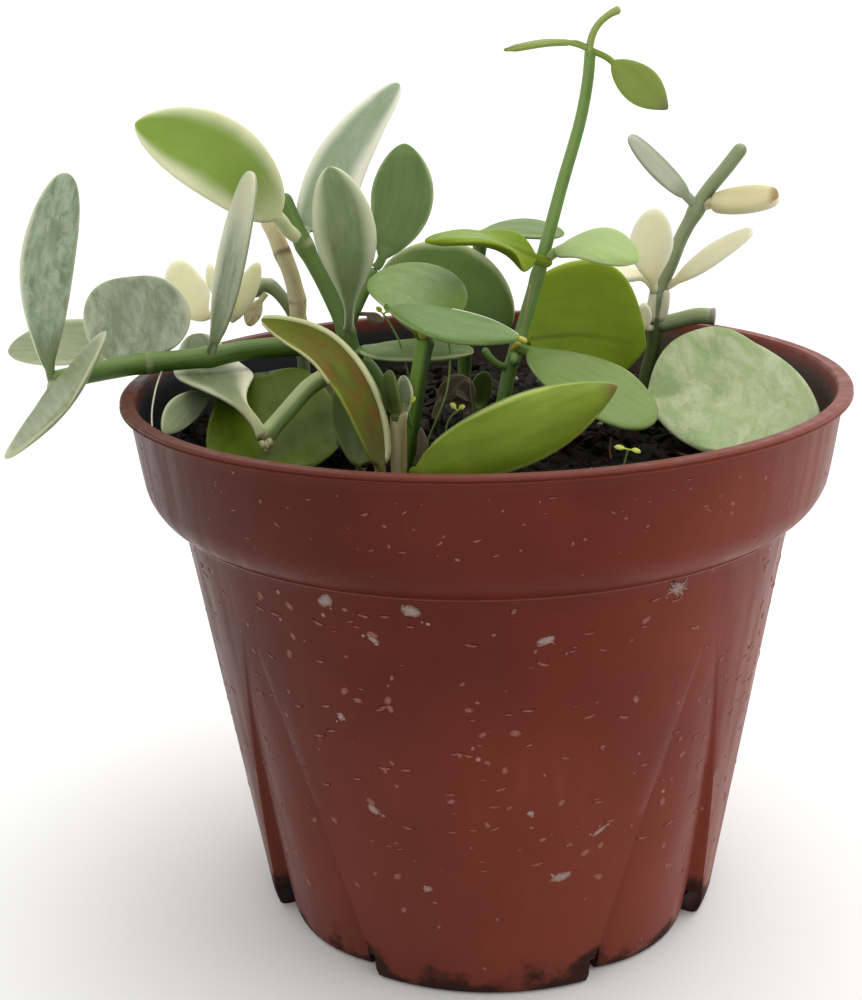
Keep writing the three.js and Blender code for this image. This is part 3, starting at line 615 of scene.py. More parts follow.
# Places of the larger marks: degrees from the front, height, width, height and lean
LIME_MARKS = [
    (-26.4, 62.6, 2.6, 1.9, 0.2), (-11.9, 62.6, 2.8, 1.9, -0.2), (9.5, 58.3, 2.5, 1.5, 0.3),
    (-22.5, 31.1, 2.1, 1.5, -0.3), (14.3, 20.7, 3.6, 1.4, 0.2), (-26.8, 45.3, 1.3, 1.2, 0.1),
    (-12.7, 18.9, 1.6, 1, 0.1), (7.8, 32, 1.2, 0.9, 0), (21.7, 27.4, 2.4, 1, 0.6),
    (-18.5, 57.9, 1.5, 1, -0.4), (152, 44, 2.4, 1.5, 0.3), (-128, 30, 2, 1.3, 0.2), (96, 58, 2.2, 1.2, 0),
]
BURST = (32.4, 62.7)
BURST_ARMS = 13
BURST_STEPS = (0.4, 0.6, 0.8, 1, 1.2)
CRUST_RAGGED = 0.3
MARK_CRUMBS = 5
CRUMB_SIZES = (0.3, 0.7)
# Crumbs lie this share of the mark's size from its middle, more or less
CRUMB_SPREAD = 0.35
# The wall's radius where its marks are, and the degrees that a millimetre counts between a mark's
# middle and its crumbs
MARKED_RADIUS = 45
CRUMB_TURN = 1.27


def lime_marks():
    """Each mark is a thin crust with a ragged outline among crumbs of lime against the wall."""
    crusts, cover = [], []
    dice = np.random.default_rng(4)

    def crust(azimuth, z, wide, tall, lean, seed, sides=18):
        rings = []
        for share, lift, shown in CRUST_RINGS:
            ring = []
            for angle in np.arange(sides) * 2 * math.pi / sides:
                way = Vector((math.cos(angle) * 1.6, math.sin(angle) * 1.6, seed))
                ragged = 1 + CRUST_RAGGED * noise.noise(way)
                x = wide / 2 * share * ragged * math.cos(angle)
                y = tall / 2 * share * ragged * math.sin(angle) + lean * x
                ring.append(on_wall(azimuth + math.degrees(x / MARKED_RADIUS), z + y, lift))
            rings.append(ring)
            cover.extend([shown] * sides)
        crusts.append(rings)

    for count, (azimuth, z, wide, tall, lean) in enumerate(LIME_MARKS):
        crust(azimuth, z, wide, tall, lean, seed=count * 3.7)
        for crumb in range(MARK_CRUMBS):
            x, y = dice.normal(0, CRUMB_SPREAD, 2) * (wide, tall)
            size = dice.uniform(*CRUMB_SIZES)
            turn = azimuth + x * CRUMB_TURN
            crust(turn, z + y + lean * x, size, size * 0.8, 0, count + crumb, sides=8)
    # The burst of dried spray under the collar: a core with ragged arms
    crust(*BURST, 1.2, 1, 0, seed=50)
    for arm in range(BURST_ARMS):
        angle = 2 * math.pi * arm / BURST_ARMS + 0.3
        reach = 1.3 + 0.5 * math.sin(arm * 2.1)
        for step in BURST_STEPS:
            way = angle + 0.2 * math.sin(arm + 5 * step)
            x, y = reach * step * math.cos(way), reach * step * math.sin(way) * 0.75
            turn = BURST[0] + x * CRUMB_TURN
            crust(turn, BURST[1] + y, 0.7 - 0.3 * step, 0.5 - 0.2 * step, 0, 60 + arm + step, sides=8)
    mesh = skins("lime_marks", *crusts)
    mark_points(mesh, "cover", cover)
    mesh.materials.append(mark_finish("dried_lime", "#9c8c86", 0.8))
    mesh.shade_smooth()
    return new_object("lime_marks", mesh)


# The soil

def soil_finish(name, dark, light):
    """Damp peat and bark: nearly black, crumbly, with a slight wet gleam."""
    material, tree, shader, place = new_material(name)
    shade = add(tree, "ShaderNodeAttribute", out="Fac", attribute_name="shade")
    # Fibres and crumbs about half a millimetre across
    crumbs = add(tree, "ShaderNodeTexNoise", {"Vector": place, "Scale": 1400, "Detail": 5, "Roughness": 0.7})
    tone = add(tree, "ShaderNodeMath", (shade, 0.6, crumbs), operation="MULTIPLY_ADD")
    tone = add(tree, "ShaderNodeMapRange", (tone, 0.4, 1.1))
    gloss = add(tree, "ShaderNodeMapRange", (crumbs, 0, 1, 0.7, 1))
    dress(tree, shader, dark, [(tone, light)], [(crumbs, 0.8, 0.0008)], Roughness=gloss,
          Specular_IOR_Level=0.2)
    return material


def soil_height(x, y):
    """The lumpy top of the soil, with clods of a few millimetres on its long swells."""
    swell = 0.5 * math.sin(x * 0.55 + 1.3) * math.cos(y * 0.47) + 0.5 * math.sin(x * 0.19 - y * 0.31)
    clods = noise.fractal(Vector((x, y, 3.1)) * 0.28, 0.8, 2.1, 4)
    return SOIL_TOP + SOIL_RELIEF * swell + CLOD_RELIEF * clods


def soil_ring(radius, z=None):
    angles = np.arange(SOIL_SIDES) * 2 * math.pi / SOIL_SIDES
    places = [(radius * math.cos(angle), radius * math.sin(angle)) for angle in angles]
    return [(x, y, soil_height(x, y) if z is None else z) for x, y in places]


# What lies on the soil: its grain (size, roughness, seed and rounds of division), how many lie on a
# square metre, their seed, their sizes, and how far they tip over
SOIL_BITS = {
    "bark_chips": (((6.5, 3.4, 1.3), 0.9, 3, 2), 21000, 5, (0.5, 1.1), 0.5),
    "soil_crumbs": (((1.8, 1.5, 1.2), 0.8, 7), 150000, 11, (0.4, 1.3), 3),
    "white_grains": (((1.6, 1.4, 1.2), 0.6, 13), 2500, 23, (0.5, 1), 3),
}


def soil():
    """The soil's body, and the bark, crumbs and few white grains that lie on its top."""
    top_radius = COLLAR[3][0] - SOIL_CLEAR
    rings = [
        soil_ring(FOOT_RADIUS - CORNER_SINK - SOIL_CLEAR - GAP, FLOOR_TOP + GAP),
        soil_ring(body_radius(30) - float(wall_sink(30, 0)) - SOIL_CLEAR - 1.5, 30),
        soil_ring(BODY_TOP_RADIUS - SOIL_CLEAR, COLLAR_BOTTOM + GAP),
        soil_ring(COLLAR[2][0] - SOIL_CLEAR, COLLAR[2][1]),
        *[soil_ring(top_radius * share) for share in np.linspace(1, 0.01, SOIL_ROWS)],
    ]
    body = new_object("potting_soil", skins("potting_soil", rings))
    body.data.shade_smooth()
    body.data.materials.append(soil_finish("damp_peat", "#070604", "#16120a"))
    ground = skins("soil_top", [soil_ring(top_radius * share) for share in np.linspace(0.96, 0.02, 30)])
    finishes = {
        "bark_chips": soil_finish("pine_bark", "#0e0a07", "#30241a"),
        "soil_crumbs": soil_finish("peat_crumbs", "#080604", "#231b13"),
        "white_grains": perlite_finish(),
    }
    return [body] + [
        strew(name, ground, grain("grain", *lump), *rest, finishes[name])
        for name, (lump, *rest) in SOIL_BITS.items()
    ]


# Leaves and stems

def leaf_finish(
    name, body, deep, margin, back="#8b9579", base=None, point=None, rib=None, margins=(0.05, 0.05),
    soft=0.1, streaks=0.35, streak_width=0.9, silver=None, silver_amount=0.4, fan=False, flecks=0,
    roughness=0.45, glow=0.12, through=(0.8, 1, 0.4), blotch=2, pointed=0.9, wax=0.4,
):
    """A thick waxy living leaf: cool smooth skin with a soft sheen, a body colour lightly streaked
    along the blade, a pale margin where the leaf is variegated, and blotches of silver under the
    skin. Margins are shares of the half width, left and right. Fan runs the streaks out from the
    foot of the blade. The colour of the point starts at pointed, a share of the blade."""
    material, tree, shader, place = new_material(name)
    blade = add(tree, "ShaderNodeUVMap", uv_map="blade")
    across, along, side = (
        add(tree, "ShaderNodeAttribute", out="Fac", attribute_name=value)
        for value in ("across", "along", "side"))
    spot = add(tree, "ShaderNodeSeparateXYZ", (blade,), None).outputs

    # Streaks a little under a millimetre wide that run 9 mm along the blade
    run, narrow = blade, 1 / streak_width
    if fan:
        swing = add(tree, "ShaderNodeMath", (spot[0], spot[1]), operation="ARCTAN2")
        run, narrow = add(tree, "ShaderNodeCombineXYZ", (swing, spot[1])), 9 / streak_width
    stretched = add(tree, "ShaderNodeMapping", {0: run, "Scale": (narrow, 1 / 9, 1)})
    fibre = add(tree, "ShaderNodeTexNoise", {"Vector": stretched, "Scale": 1, "Detail": 3})
    streak = add(tree, "ShaderNodeMapRange", (fibre, 0.38, 0.72, 0, streaks), **SOFTLY)
    # Cloudy tone over some 5 mm, as the flesh is thicker or thinner
    cloud = add(tree, "ShaderNodeTexNoise", {"Vector": place, "Scale": 200, "Detail": 2})
    tone = add(tree, "ShaderNodeMapRange", (cloud, 0.3, 0.7, 0, 0.35))
    layers = [(streak, deep), (tone, deep)]

    if silver:
        # Silver blotches, by their width in millimetres, drawn out along the blade
        spread = add(tree, "ShaderNodeMapping", {0: blade, "Scale": (1 / blotch, 0.5 / blotch, 1)})
        patch = add(tree, "ShaderNodeTexNoise", {
            "Vector": spread, "Scale": 1, "Detail": 7, "Roughness": 0.72, "Distortion": 0.4})
        amount = add(tree, "ShaderNodeMapRange", (patch, 0.4, 0.66, 0, silver_amount), **SOFTLY)
        layers.append((amount, silver))
    if flecks:
        # Pale pores about 0.2 mm across, a millimetre apart
        pore = add(tree, "ShaderNodeTexVoronoi", {"Vector": place, "Scale": 900})
        layers.append((add(tree, "ShaderNodeMapRange", (pore, 0.08, 0.16, flecks, 0)), margin))
    if rib:
        # The midrib shows as a line about half a millimetre wide that fades towards the tip
        off = add(tree, "ShaderNodeMath", (spot[0],), operation="ABSOLUTE")
        line = add(tree, "ShaderNodeMapRange", (off, 0.1, 0.55, 0.6, 0), **SOFTLY)
        fade = add(tree, "ShaderNodeMapRange", (along, 0.4, 0.95, 1, 0))
        layers.append((add(tree, "ShaderNodeMath", (line, fade), operation="MULTIPLY"), rib))
    for tint, low, high in ((base, 0.3, 0), (point, pointed, 0.99)):
        if tint:
            layers.append((add(tree, "ShaderNodeMapRange", (along, low, high, 0, 0.9), **SOFTLY), tint))

    # The pale margin wanders by a tenth of the half width
    wander = add(tree, "ShaderNodeTexNoise", {"Vector": place, "Scale": 160, "Detail": 3})
    shift = add(tree, "ShaderNodeMapRange", (wander, 0, 1, -0.12, 0.12))
    moved = add(tree, "ShaderNodeMath", (across, shift), operation="ADD")
    edges = []
    for sign, width in zip((-1, 1), margins):
        inner, outer = sign * (1 - width - soft), sign * (1 - width + soft)
        edges.append(add(tree, "ShaderNodeMapRange", (moved, inner, outer), **SOFTLY))
    layers.append((add(tree, "ShaderNodeMath", edges, operation="MAXIMUM"), margin))
    layers.append((add(tree, "ShaderNodeMapRange", (side, 0, -0.3, 0, 0.75)), back))

    # Fine pores a quarter of a millimetre apart, and low streaks, in relief
    pores = add(tree, "ShaderNodeTexNoise", {"Vector": place, "Scale": 2600, "Detail": 1})
    height = add(tree, "ShaderNodeMath", (fibre, 0.7, pores), operation="MULTIPLY_ADD")
    gloss = add(tree, "ShaderNodeMapRange", (fibre, 0.3, 0.7, roughness - 0.06, roughness + 0.1))
    dress(tree, shader, body, layers, [(height, 0.2, 0.0002)], Roughness=gloss, IOR=1.42,
          Specular_IOR_Level=wax, Subsurface_Weight=glow, Subsurface_Radius=through, Subsurface_Scale=0.002)
    return material


def stem_finish(name, body, deep, light, scar, roughness=0.45):
    """A green or corky stem: smooth skin with fine lines along it, painted paler on one side as
    painted light, and darker rings at the nodes."""
    material, tree, shader, place = new_material(name)
    bark = add(tree, "ShaderNodeUVMap", uv_map="blade")
    node, painted_lit_side = (
        add(tree, "ShaderNodeAttribute", out="Fac", attribute_name=value) for value in ("across", "side"))
    # Lines about 0.4 mm wide that run some 6 mm along the stem
    stretched = add(tree, "ShaderNodeMapping", {0: bark, "Scale": (2.5, 1 / 6, 1)})
    lines = add(tree, "ShaderNodeTexNoise", {"Vector": stretched, "Scale": 1, "Detail": 4})
    patches = add(tree, "ShaderNodeTexNoise", {"Vector": place, "Scale": 260, "Detail": 3})
    tone = add(tree, "ShaderNodeMath", (lines, patches), operation="MULTIPLY")
    tone = add(tree, "ShaderNodeMapRange", (tone, 0.16, 0.4))
    # Painted light: one side of the stem is painted paler
    paler = add(tree, "ShaderNodeMapRange", (painted_lit_side, -0.1, 0.6, 0, 0.8), **SOFTLY)
    ring = add(tree, "ShaderNodeMath", (node, patches), operation="MULTIPLY")
    ring = add(tree, "ShaderNodeMapRange", (ring, 0.35, 0.62, 0, 0.8), **SOFTLY)
    dress(tree, shader, body, [(tone, deep), (paler, light), (ring, scar)], [(lines, 0.4, 0.0003)],
          Roughness=roughness, IOR=1.42, Specular_IOR_Level=0.4, Subsurface_Weight=0.1,
          Subsurface_Scale=0.001)
    return material


# What several finishes share: leaves with next to no margin, and cream flesh that lets light through
PLAIN = {"margins": (0.02, 0.02), "soft": 0.05}
CREAMY = {"through": (1, 0.95, 0.75), "roughness": 0.5}
FINISHES = {
    "silver": leaf_finish(
        "silver_leaf", "#909f80", "#647852", "#cdd0b4", base="#67784a", margins=(0.03, 0.12),
        silver="#b4bfaa", silver_amount=0.75, streaks=0.7,
    ),
    "silver_tipped": leaf_finish(
        "silver_tipped_leaf", "#7d8b66", "#586b45", "#c9cdae", base="#5f7442", point="#d6d6b4",
        pointed=0.45, margins=(0.02, 0.4), soft=0.3, silver="#a0ad90", silver_amount=0.4, streaks=0.5,
        flecks=0.3,
    ),
    "silver_round": leaf_finish(
        "silver_round_leaf", "#97a386", "#76866a", "#cfd0b6", margins=(0.1, 0.04), silver="#c6ceb8",
        silver_amount=0.8, fan=True, streak_width=1.2, blotch=3,
    ),
    "grey": leaf_finish(
        "grey_green_leaf", "#8f9974", "#6d7b54", "#c3c4a0", margins=(0.1, 0.06), soft=0.16, streaks=0.4,
    ),
    "grey_folded": leaf_finish(
        "grey_folded_leaf", "#74805a", "#4e6034", "#d6d4b4", back="#7b8660", base="#9ea06c",
        margins=(0.4, 0.08), soft=0.3, streaks=0.5, streak_width=2,
    ),
    "cream_edged": leaf_finish(
        "cream_edged_leaf", "#86a040", "#739130", "#dcdcb8", back="#a9b27c", base="#cdd0a0",
        margins=(0.22, 0.34), soft=0.26, streaks=0.25, streak_width=2, glow=0.2,
    ),
    "cream_edged_grey": leaf_finish(
        "cream_edged_grey_leaf", "#9bab8a", "#8a9c76", "#ecebd8", back="#a9b27c", margins=(0.36, 0.3),
        soft=0.26, streaks=0.35, silver="#adbaa0", silver_amount=0.4,
    ),
    "cream_lined": leaf_finish(
        "cream_lined_leaf", "#7f9162", "#647a49", "#d2d5b6", back="#a9b27c", margins=(0.26, 0.3),
        soft=0.28, streaks=0.5, silver="#8c9a78", silver_amount=0.5,
    ),
    "dark": leaf_finish(
        "dark_leaf", "#70894f", "#567238", "#b4bf96", margins=(0.08, 0.03), soft=0.12, streaks=0.35,
    ),
    "cream": leaf_finish(
        "cream_leaf", "#faf3d6", "#ece4c4", "#fbf6e0", back="#e6e0c6", base="#dcd6b0", streaks=0.25,
        glow=0.8, **CREAMY,
    ),
    "cream_thick": leaf_finish(
        "thick_cream_leaf", "#d8cea2", "#c7bc8c", "#e2dabc", back="#d8ceaa", base="#c8c294",
        point="#8c6a38", pointed=0.84, streaks=0.25, glow=0.5, **CREAMY,
    ),
    "cream_spotted": leaf_finish(
        "cream_spotted_leaf", "#e4dcc0", "#cfc49e", "#f2ecd6", back="#e0dac0", base="#d0caa2",
        silver="#7a5a34", silver_amount=0.7, glow=0.5, **CREAMY,
    ),
    "cream_striped": leaf_finish(
        "cream_striped_leaf", "#dcdecb", "#cdd2bc", "#94a086", back="#a4aa86", base="#9aa588",
        margins=(0.2, 0.2), soft=0.22,
    ),
    "green": leaf_finish(
        "green_leaf", "#799250", "#66813e", "#a6b684", back="#7c9455", base="#5a7424", streaks=0.3,
        silver="#8ea374", silver_amount=0.35, flecks=0.35, roughness=0.42, wax=0.3, **PLAIN,
    ),
    "glossy_green": leaf_finish(
        "glossy_green_leaf", "#668342", "#52702e", "#93a86a", back="#6a8440", base="#557020", streaks=0.4,
        flecks=0.35, roughness=0.36, **PLAIN,
    ),
    "bright_green": leaf_finish(
        "bright_green_leaf", "#738b3e", "#5f7931", "#92a664", back="#7f994c", base="#5f7c2a", streaks=0.35,
        flecks=0.25, roughness=0.42, **PLAIN,
    ),
    "yellow_green": leaf_finish(
        "yellow_green_leaf", "#7f9124", "#5f7414", "#b4c064", back="#6a7f22", point="#6e5c2c",
        margins=(0.02, 0.1), soft=0.1, streaks=0.5, streak_width=1.6, glow=0.2, wax=0.25,
    ),
    "broad_green": leaf_finish(
        "broad_green_leaf", "#7a921e", "#627a10", "#95a540", back="#6a7f22", streaks=0.3, streak_width=1.6,
        rib="#4f640e", glow=0.2, wax=0.16, **PLAIN,
    ),
    "young_green": leaf_finish(
        "young_green_leaf", "#9bb16a", "#86a052", "#bcc896", back="#93a864", margins=(0.03, 0.05),
        soft=0.08, streaks=0.3, glow=0.2,
    ),
    "tip_green": leaf_finish(
        "shoot_tip_leaf", "#7f8f3c", "#6a7b2c", "#98a556", back="#8b9a4e", point="#6c6a50", streaks=0.3,
        glow=0.2, pointed=0.8, **PLAIN,
    ),
    "seed_leaf": leaf_finish(
        "seed_leaf", "#c8d050", "#b0ba3c", "#d4da70", back="#bcc64c", streaks=0.2, glow=0.3,
    ),
    "pale_banded": leaf_finish(
        "pale_banded_leaf", "#718c44", "#577634", "#c6cb9e", back="#7c9455", point="#a9b47c",
        margins=(0.12, 0.02), soft=0.1, streaks=0.4, streak_width=2, pointed=0.7, wax=0.3,
    ),
    "blue_green": leaf_finish(
        "blue_green_leaf", "#6c8442", "#4c6728", "#b9c194", back="#7c9455", margins=(0.04, 0.12),
        soft=0.12, streaks=0.4, streak_width=2, wax=0.3,
    ),
    "olive": leaf_finish(
        "olive_leaf", "#536314", "#3b4a08", "#76833c", back="#66733a", streaks=0.45, streak_width=1.6,
        roughness=0.4, wax=0.14, **PLAIN,
    ),
    "deep_grey": leaf_finish(
        "deep_grey_leaf", "#475726", "#354518", "#6f7c40", back="#66733a", base="#5c6834", rib="#2c3612",
        margins=(0.02, 0.03), streaks=0.4, wax=0.2,
    ),
    "mottled": leaf_finish(
        "mottled_leaf", "#93a56c", "#768b54", "#bcc29c", silver="#b6bf9a", silver_amount=0.7, fan=True,
        streaks=0.7, streak_width=1.8, blotch=4, **PLAIN,
    ),
    "withered": leaf_finish(
        "withered_leaf", "#5a6418", "#3e4610", "#76802e", back="#b8ae78", base="#56542a",
        margins=(0.02, 0.12), soft=0.14, streaks=0.8, streak_width=2.4, silver="#70401a",
        silver_amount=0.8, blotch=2.2, point="#5a6418", pointed=0.4, roughness=0.6, wax=0.14,
    ),
    "dry": leaf_finish(
        "dry_leaf", "#6a5c4a", "#463c2e", "#7d6e58", back="#5a4e3e", streaks=0.8, silver="#38322a",
        silver_amount=0.5, roughness=0.75,
    ),
}
# Stems: body, dark lines, the paler colour painted on one side as painted light, the nodes' rings, and
# roughness
FINISHES.update({
    key: stem_finish(*row) for key, *row in (
        ("stem_green", "green_stem", "#4e6a26", "#3c581a", "#738d4a", "#a0a078"),
        ("stem_bright", "bright_green_stem", "#66883c", "#54762e", "#86a45c", "#8a7a4a"),
        ("stem_tip", "shoot_tip", "#8a9a4c", "#75863a", "#a2b068", "#6a5430"),
        ("stem_dark", "dark_green_stem", "#2a420a", "#1e3306", "#6f9430", "#6a6a34"),
        ("stem_grey", "grey_green_stem", "#7d8a62", "#687852", "#99a47c", "#b8b48c"),
        ("stem_olive", "old_green_stem", "#3e4a22", "#2c3616", "#66743e", "#8a8a5c"),
        ("stem_cream", "cream_stem", "#d0c294", "#b6a474", "#e4dab4", "#5e4c30", 0.6),
        ("stem_beige", "beige_stem", "#9a9262", "#7a7048", "#b5ad82", "#6e5a3c", 0.6),
        ("stem_margin", "rolled_margin", "#a9ae7a", "#8d9460", "#c6c898", "#8a7a54", 0.55),
        ("stem_light", "pale_green_stem", "#71894a", "#5f7738", "#a4b078", "#a0a078"),
        ("stem_pale", "pale_petiole", "#d8d2b4", "#c4bd98", "#e6e1c8", "#8a7a54", 0.55),
        ("stub_green", "old_branch", "#8a9868", "#738052", "#a0ac80", "#a0a078", 0.55),
        ("cut_end", "cut_stem_end", "#8f8a7a", "#6c665a", "#a19c8c", "#5a5248", 0.8),
        # White for the cord that paints a highlight along a leaf's edge
        ("highlight_white", "painted_white_highlight", "#d8d6c8", "#c4c0ac", "#e4e2d6", "#b8b09a", 0.7),
        ("root_red", "reddish_thread", "#8a5a40", "#6a4030", "#9a6a50", "#5a3828", 0.7),
        ("bud_yellow", "yellow_bud", "#b0a83c", "#8f8a30", "#c4bc58", "#7a6a2c"),
    )
})


class Growth:
    """Gathers the stems and leaves of one cutting into one mesh."""

    def __init__(self):
        self.vertices = []
        self.faces = []
        self.slots = []
        self.values = []
        self.finishes = []
        self.count = 0

    def add_rings(self, rings, values, finish):
        """Joins rings of equal length into a closed skin. Values are u, v, across, along, side."""
        rows, sides = rings.shape[:2]
        quads, ends = tube_faces(rows, sides, self.count)
        made = quads.reshape(-1, 4).tolist() + ends
        if finish not in self.finishes:
            self.finishes.append(finish)
        self.vertices.append(rings.reshape(-1, 3))
        self.values.append(values.reshape(-1, 5))
        self.faces += made
        self.slots += [self.finishes.index(finish)] * len(made)
        self.count += rows * sides

    def stem(self, points, radius, finish, nodes=(), swell=0.22, taper=0, sides=STEM_SIDES, dome=1):
        """A round stem through its points, swollen at the nodes. Its end is a dome, which is as
        deep as it is wide at 1 and nearly flat at 0.1."""
        centres, ways, length, spot_of = even_line(points)
        total = length[-1]
        cap = radius * (1 - taper) * dome
        steps = max(6, round(total / STEM_STEP))
        turns_up = np.linspace(0, math.pi / 2, DOME_STEPS + 1)[1:] * DOME_SHUT
        reached = np.concatenate([np.linspace(0, total - cap, steps), total - cap + cap * np.sin(turns_up)])
        closed = np.concatenate([np.ones(steps), np.cos(turns_up)])
        closeness = np.zeros(len(reached))
        for node in nodes:
            closeness = np.maximum(closeness, np.exp(-((reached - spot_of(node)) / NODE_LENGTH) ** 2))
        reach = radius * (1 + swell * closeness) * (1 - taper * reached / total) * closed
        across = np.array([1.0, 0, 0])
        rings = []
        turns = np.arange(sides) * 2 * math.pi / sides
        values = np.zeros((len(reached), sides, 5))
        for row, size in enumerate(reach):
            centre, way = centres(reached[row]), ways(reached[row])
            across = across - way * across.dot(way)
            across = across / np.linalg.norm(across)
            up = np.cross(way, across)
            out = np.outer(np.cos(turns), across) + np.outer(np.sin(turns), up)
            rings.append(centre + size * out)
            # How far each point of a stem faces the side that is painted paler as painted light
            values[row, :, 4] = out @ PAINTED_LIT_SIDE
        values[:, :, 0] = np.abs(turns - math.pi)[None] * radius
        values[:, :, 1] = reached[:, None]
        values[:, :, 2] = closeness[:, None]
        values[:, :, 3] = (reached / total)[:, None]
        self.add_rings(np.array(rings), values, finish)

    def leaf(
        self, points, width, face, finish, foot=0.6, tip=0.6, wide=1, stalk_spans=1, cup=0.15,
        thick=1.3, stalk=0.7, tip_radius=0.3, wave=0, waves=1.5, turn=(0, 0), rib=0.1, notch=0,
        halves=((1, 1), (1, 1)), sides=BLADE_SIDES, steps=BLADE_STEPS,
    ):
        """A stalk that widens into a thick blade. Face is the side that the blade shows. Foot and
        tip say how the outline closes, from blunt at 0.3 to drawn out at 1.3, and wide moves its
        widest place outwards. Halves scale the left and right half, first near the foot and then
        near the tip. Turn twists the blade, from its foot to its tip. Gives its two edges."""
        centres, ways, length, spot_of = even_line(points)
        start, total = spot_of(stalk_spans), length[-1]
        stalk_steps = STALK_STEPS * stalk_spans
        blade_shares = (1 - np.cos(np.linspace(0, math.pi, steps + 1))) / 2
        reached = np.concatenate([
            np.linspace(0, start, stalk_steps, endpoint=False), start + (total - start) * blade_shares])
        blade = np.clip((reached - start) / (total - start), 0, 1)
        power = foot + (tip - foot) * smooth(blade)
        outline = np.maximum(np.sin(math.pi * blade ** wide), 0) ** power
        left, right = (np.interp(blade, HALVES_AT, pair) for pair in zip(*halves))
        slim = stalk + (tip_radius - stalk) * blade
        slim = slim * np.sqrt(np.clip((1 - blade) / TIP_SHARE, 0.02, 1))
        angles = np.arange(sides) * 2 * math.pi / sides
        s, h = (np.sign(way) * np.abs(way) ** BLADE_FULLNESS for way in (np.cos(angles), np.sin(angles)))
        front = np.array(face, float)
        front = front / np.linalg.norm(front)
        rings = []
        values = np.zeros((len(reached), sides, 5))
        for row, spot in enumerate(reached):
            centre, way = centres(spot), ways(spot)
            across = np.cross(front, way)
            across = across / np.linalg.norm(across)
            up = np.cross(way, across)
            lean = turn[0] + (turn[1] - turn[0]) * smooth(blade[row], 0, TWIST_END)
            across, up = (
                across * math.cos(lean) + up * math.sin(lean), up * math.cos(lean) - across * math.sin(lean))
            half = np.hypot(width / 2 * outline[row] * np.where(s < 0, left[row], right[row]), slim[row])
            depth = max(slim[row] * (1 - outline[row] ** 2), thick / 2 * min(1, outline[row] * 1.5 + 0.2))
            rise = depth * h + cup * (half - slim[row]) * (s * s - 0.3)
            rise = rise - rib * outline[row] * (1 - blade[row]) * np.exp(-(s * half / RIB_WIDTH) ** 2)
            ripple = math.sin(waves * 2 * math.pi * blade[row] + 0.7)
            rise = rise + wave * outline[row] * ripple * s * np.abs(s)
            ahead = notch * s * s * smooth(blade[row], 0.7, 1)
            rings.append(centre + np.outer(half * s, across) + np.outer(rise, up) + np.outer(ahead, way))
            for column, value in enumerate((half * s, spot, s, blade[row], h)):
                values[row, :, column] = value
        rings = np.array(rings)
        self.add_rings(rings, values, finish)
        return rings[stalk_steps:, sides // 2], rings[stalk_steps:, 0]

    def rim(self, edge, radius, finish, low=0.05, high=0.95):
        """A thin cord along part of a leaf's edge. On the withered leaf it is a rolled margin, and on
        two of the front stem's leaves it is a painted highlight.
        """
        steps = len(edge) - 1
        points = edge[round(low * steps):round(high * steps) + 1:3].tolist()
        self.stem(points, radius, finish, sides=8, taper=0.3)

    def piece(self, name):
        """The finished mesh, in metres, with its map of the blades and its other values."""
        mesh = bpy.data.meshes.new(name)
        values = np.concatenate(self.values)
        mesh.from_pydata((np.concatenate(self.vertices) * MM).tolist(), [], self.faces)
        mesh.polygons.foreach_set("material_index", self.slots)
        mesh.shade_smooth()
        for column, attribute in ((2, "across"), (3, "along"), (4, "side")):
            mark_points(mesh, attribute, values[:, column])
        corners = np.zeros(len(mesh.loops), int)
        mesh.loops.foreach_get("vertex_index", corners)
        layer = mesh.uv_layers.new(name="blade")
        layer.data.foreach_set("uv", values[corners, :2].astype(np.float32).ravel())
        for finish in self.finishes:
            mesh.materials.append(FINISHES[finish])
        return new_object(name, mesh)


def even_line(points):
    """The smooth line through the points by distance along it: the place and the direction at a
    distance, the distances of its samples, and the distance of the point with a given count."""
    shares = np.linspace(0, 1, LINE_STEPS * (len(points) - 1) + 1)
    places, slopes = follow(points, shares)
    length = np.concatenate([[0], np.cumsum(np.linalg.norm(np.diff(places, axis=0), axis=1))])

    def centre(spot):
        return np.array([np.interp(spot, length, places[:, axis]) for axis in range(3)])

    def way(spot):
        slope = np.array([np.interp(spot, length, slopes[:, axis]) for axis in range(3)])
        return slope / np.linalg.norm(slope)

    def spot_of(count):
        return float(np.interp(count / (len(points) - 1), shares, length))

    return centre, way, length, spot_of


def root_points(x, y):
    """The stretch of a stem or stalk that stands in the soil."""
    return [(x, y, SOIL_TOP - ROOT_DEPTH), (x, y, SOIL_TOP + 0.5)]


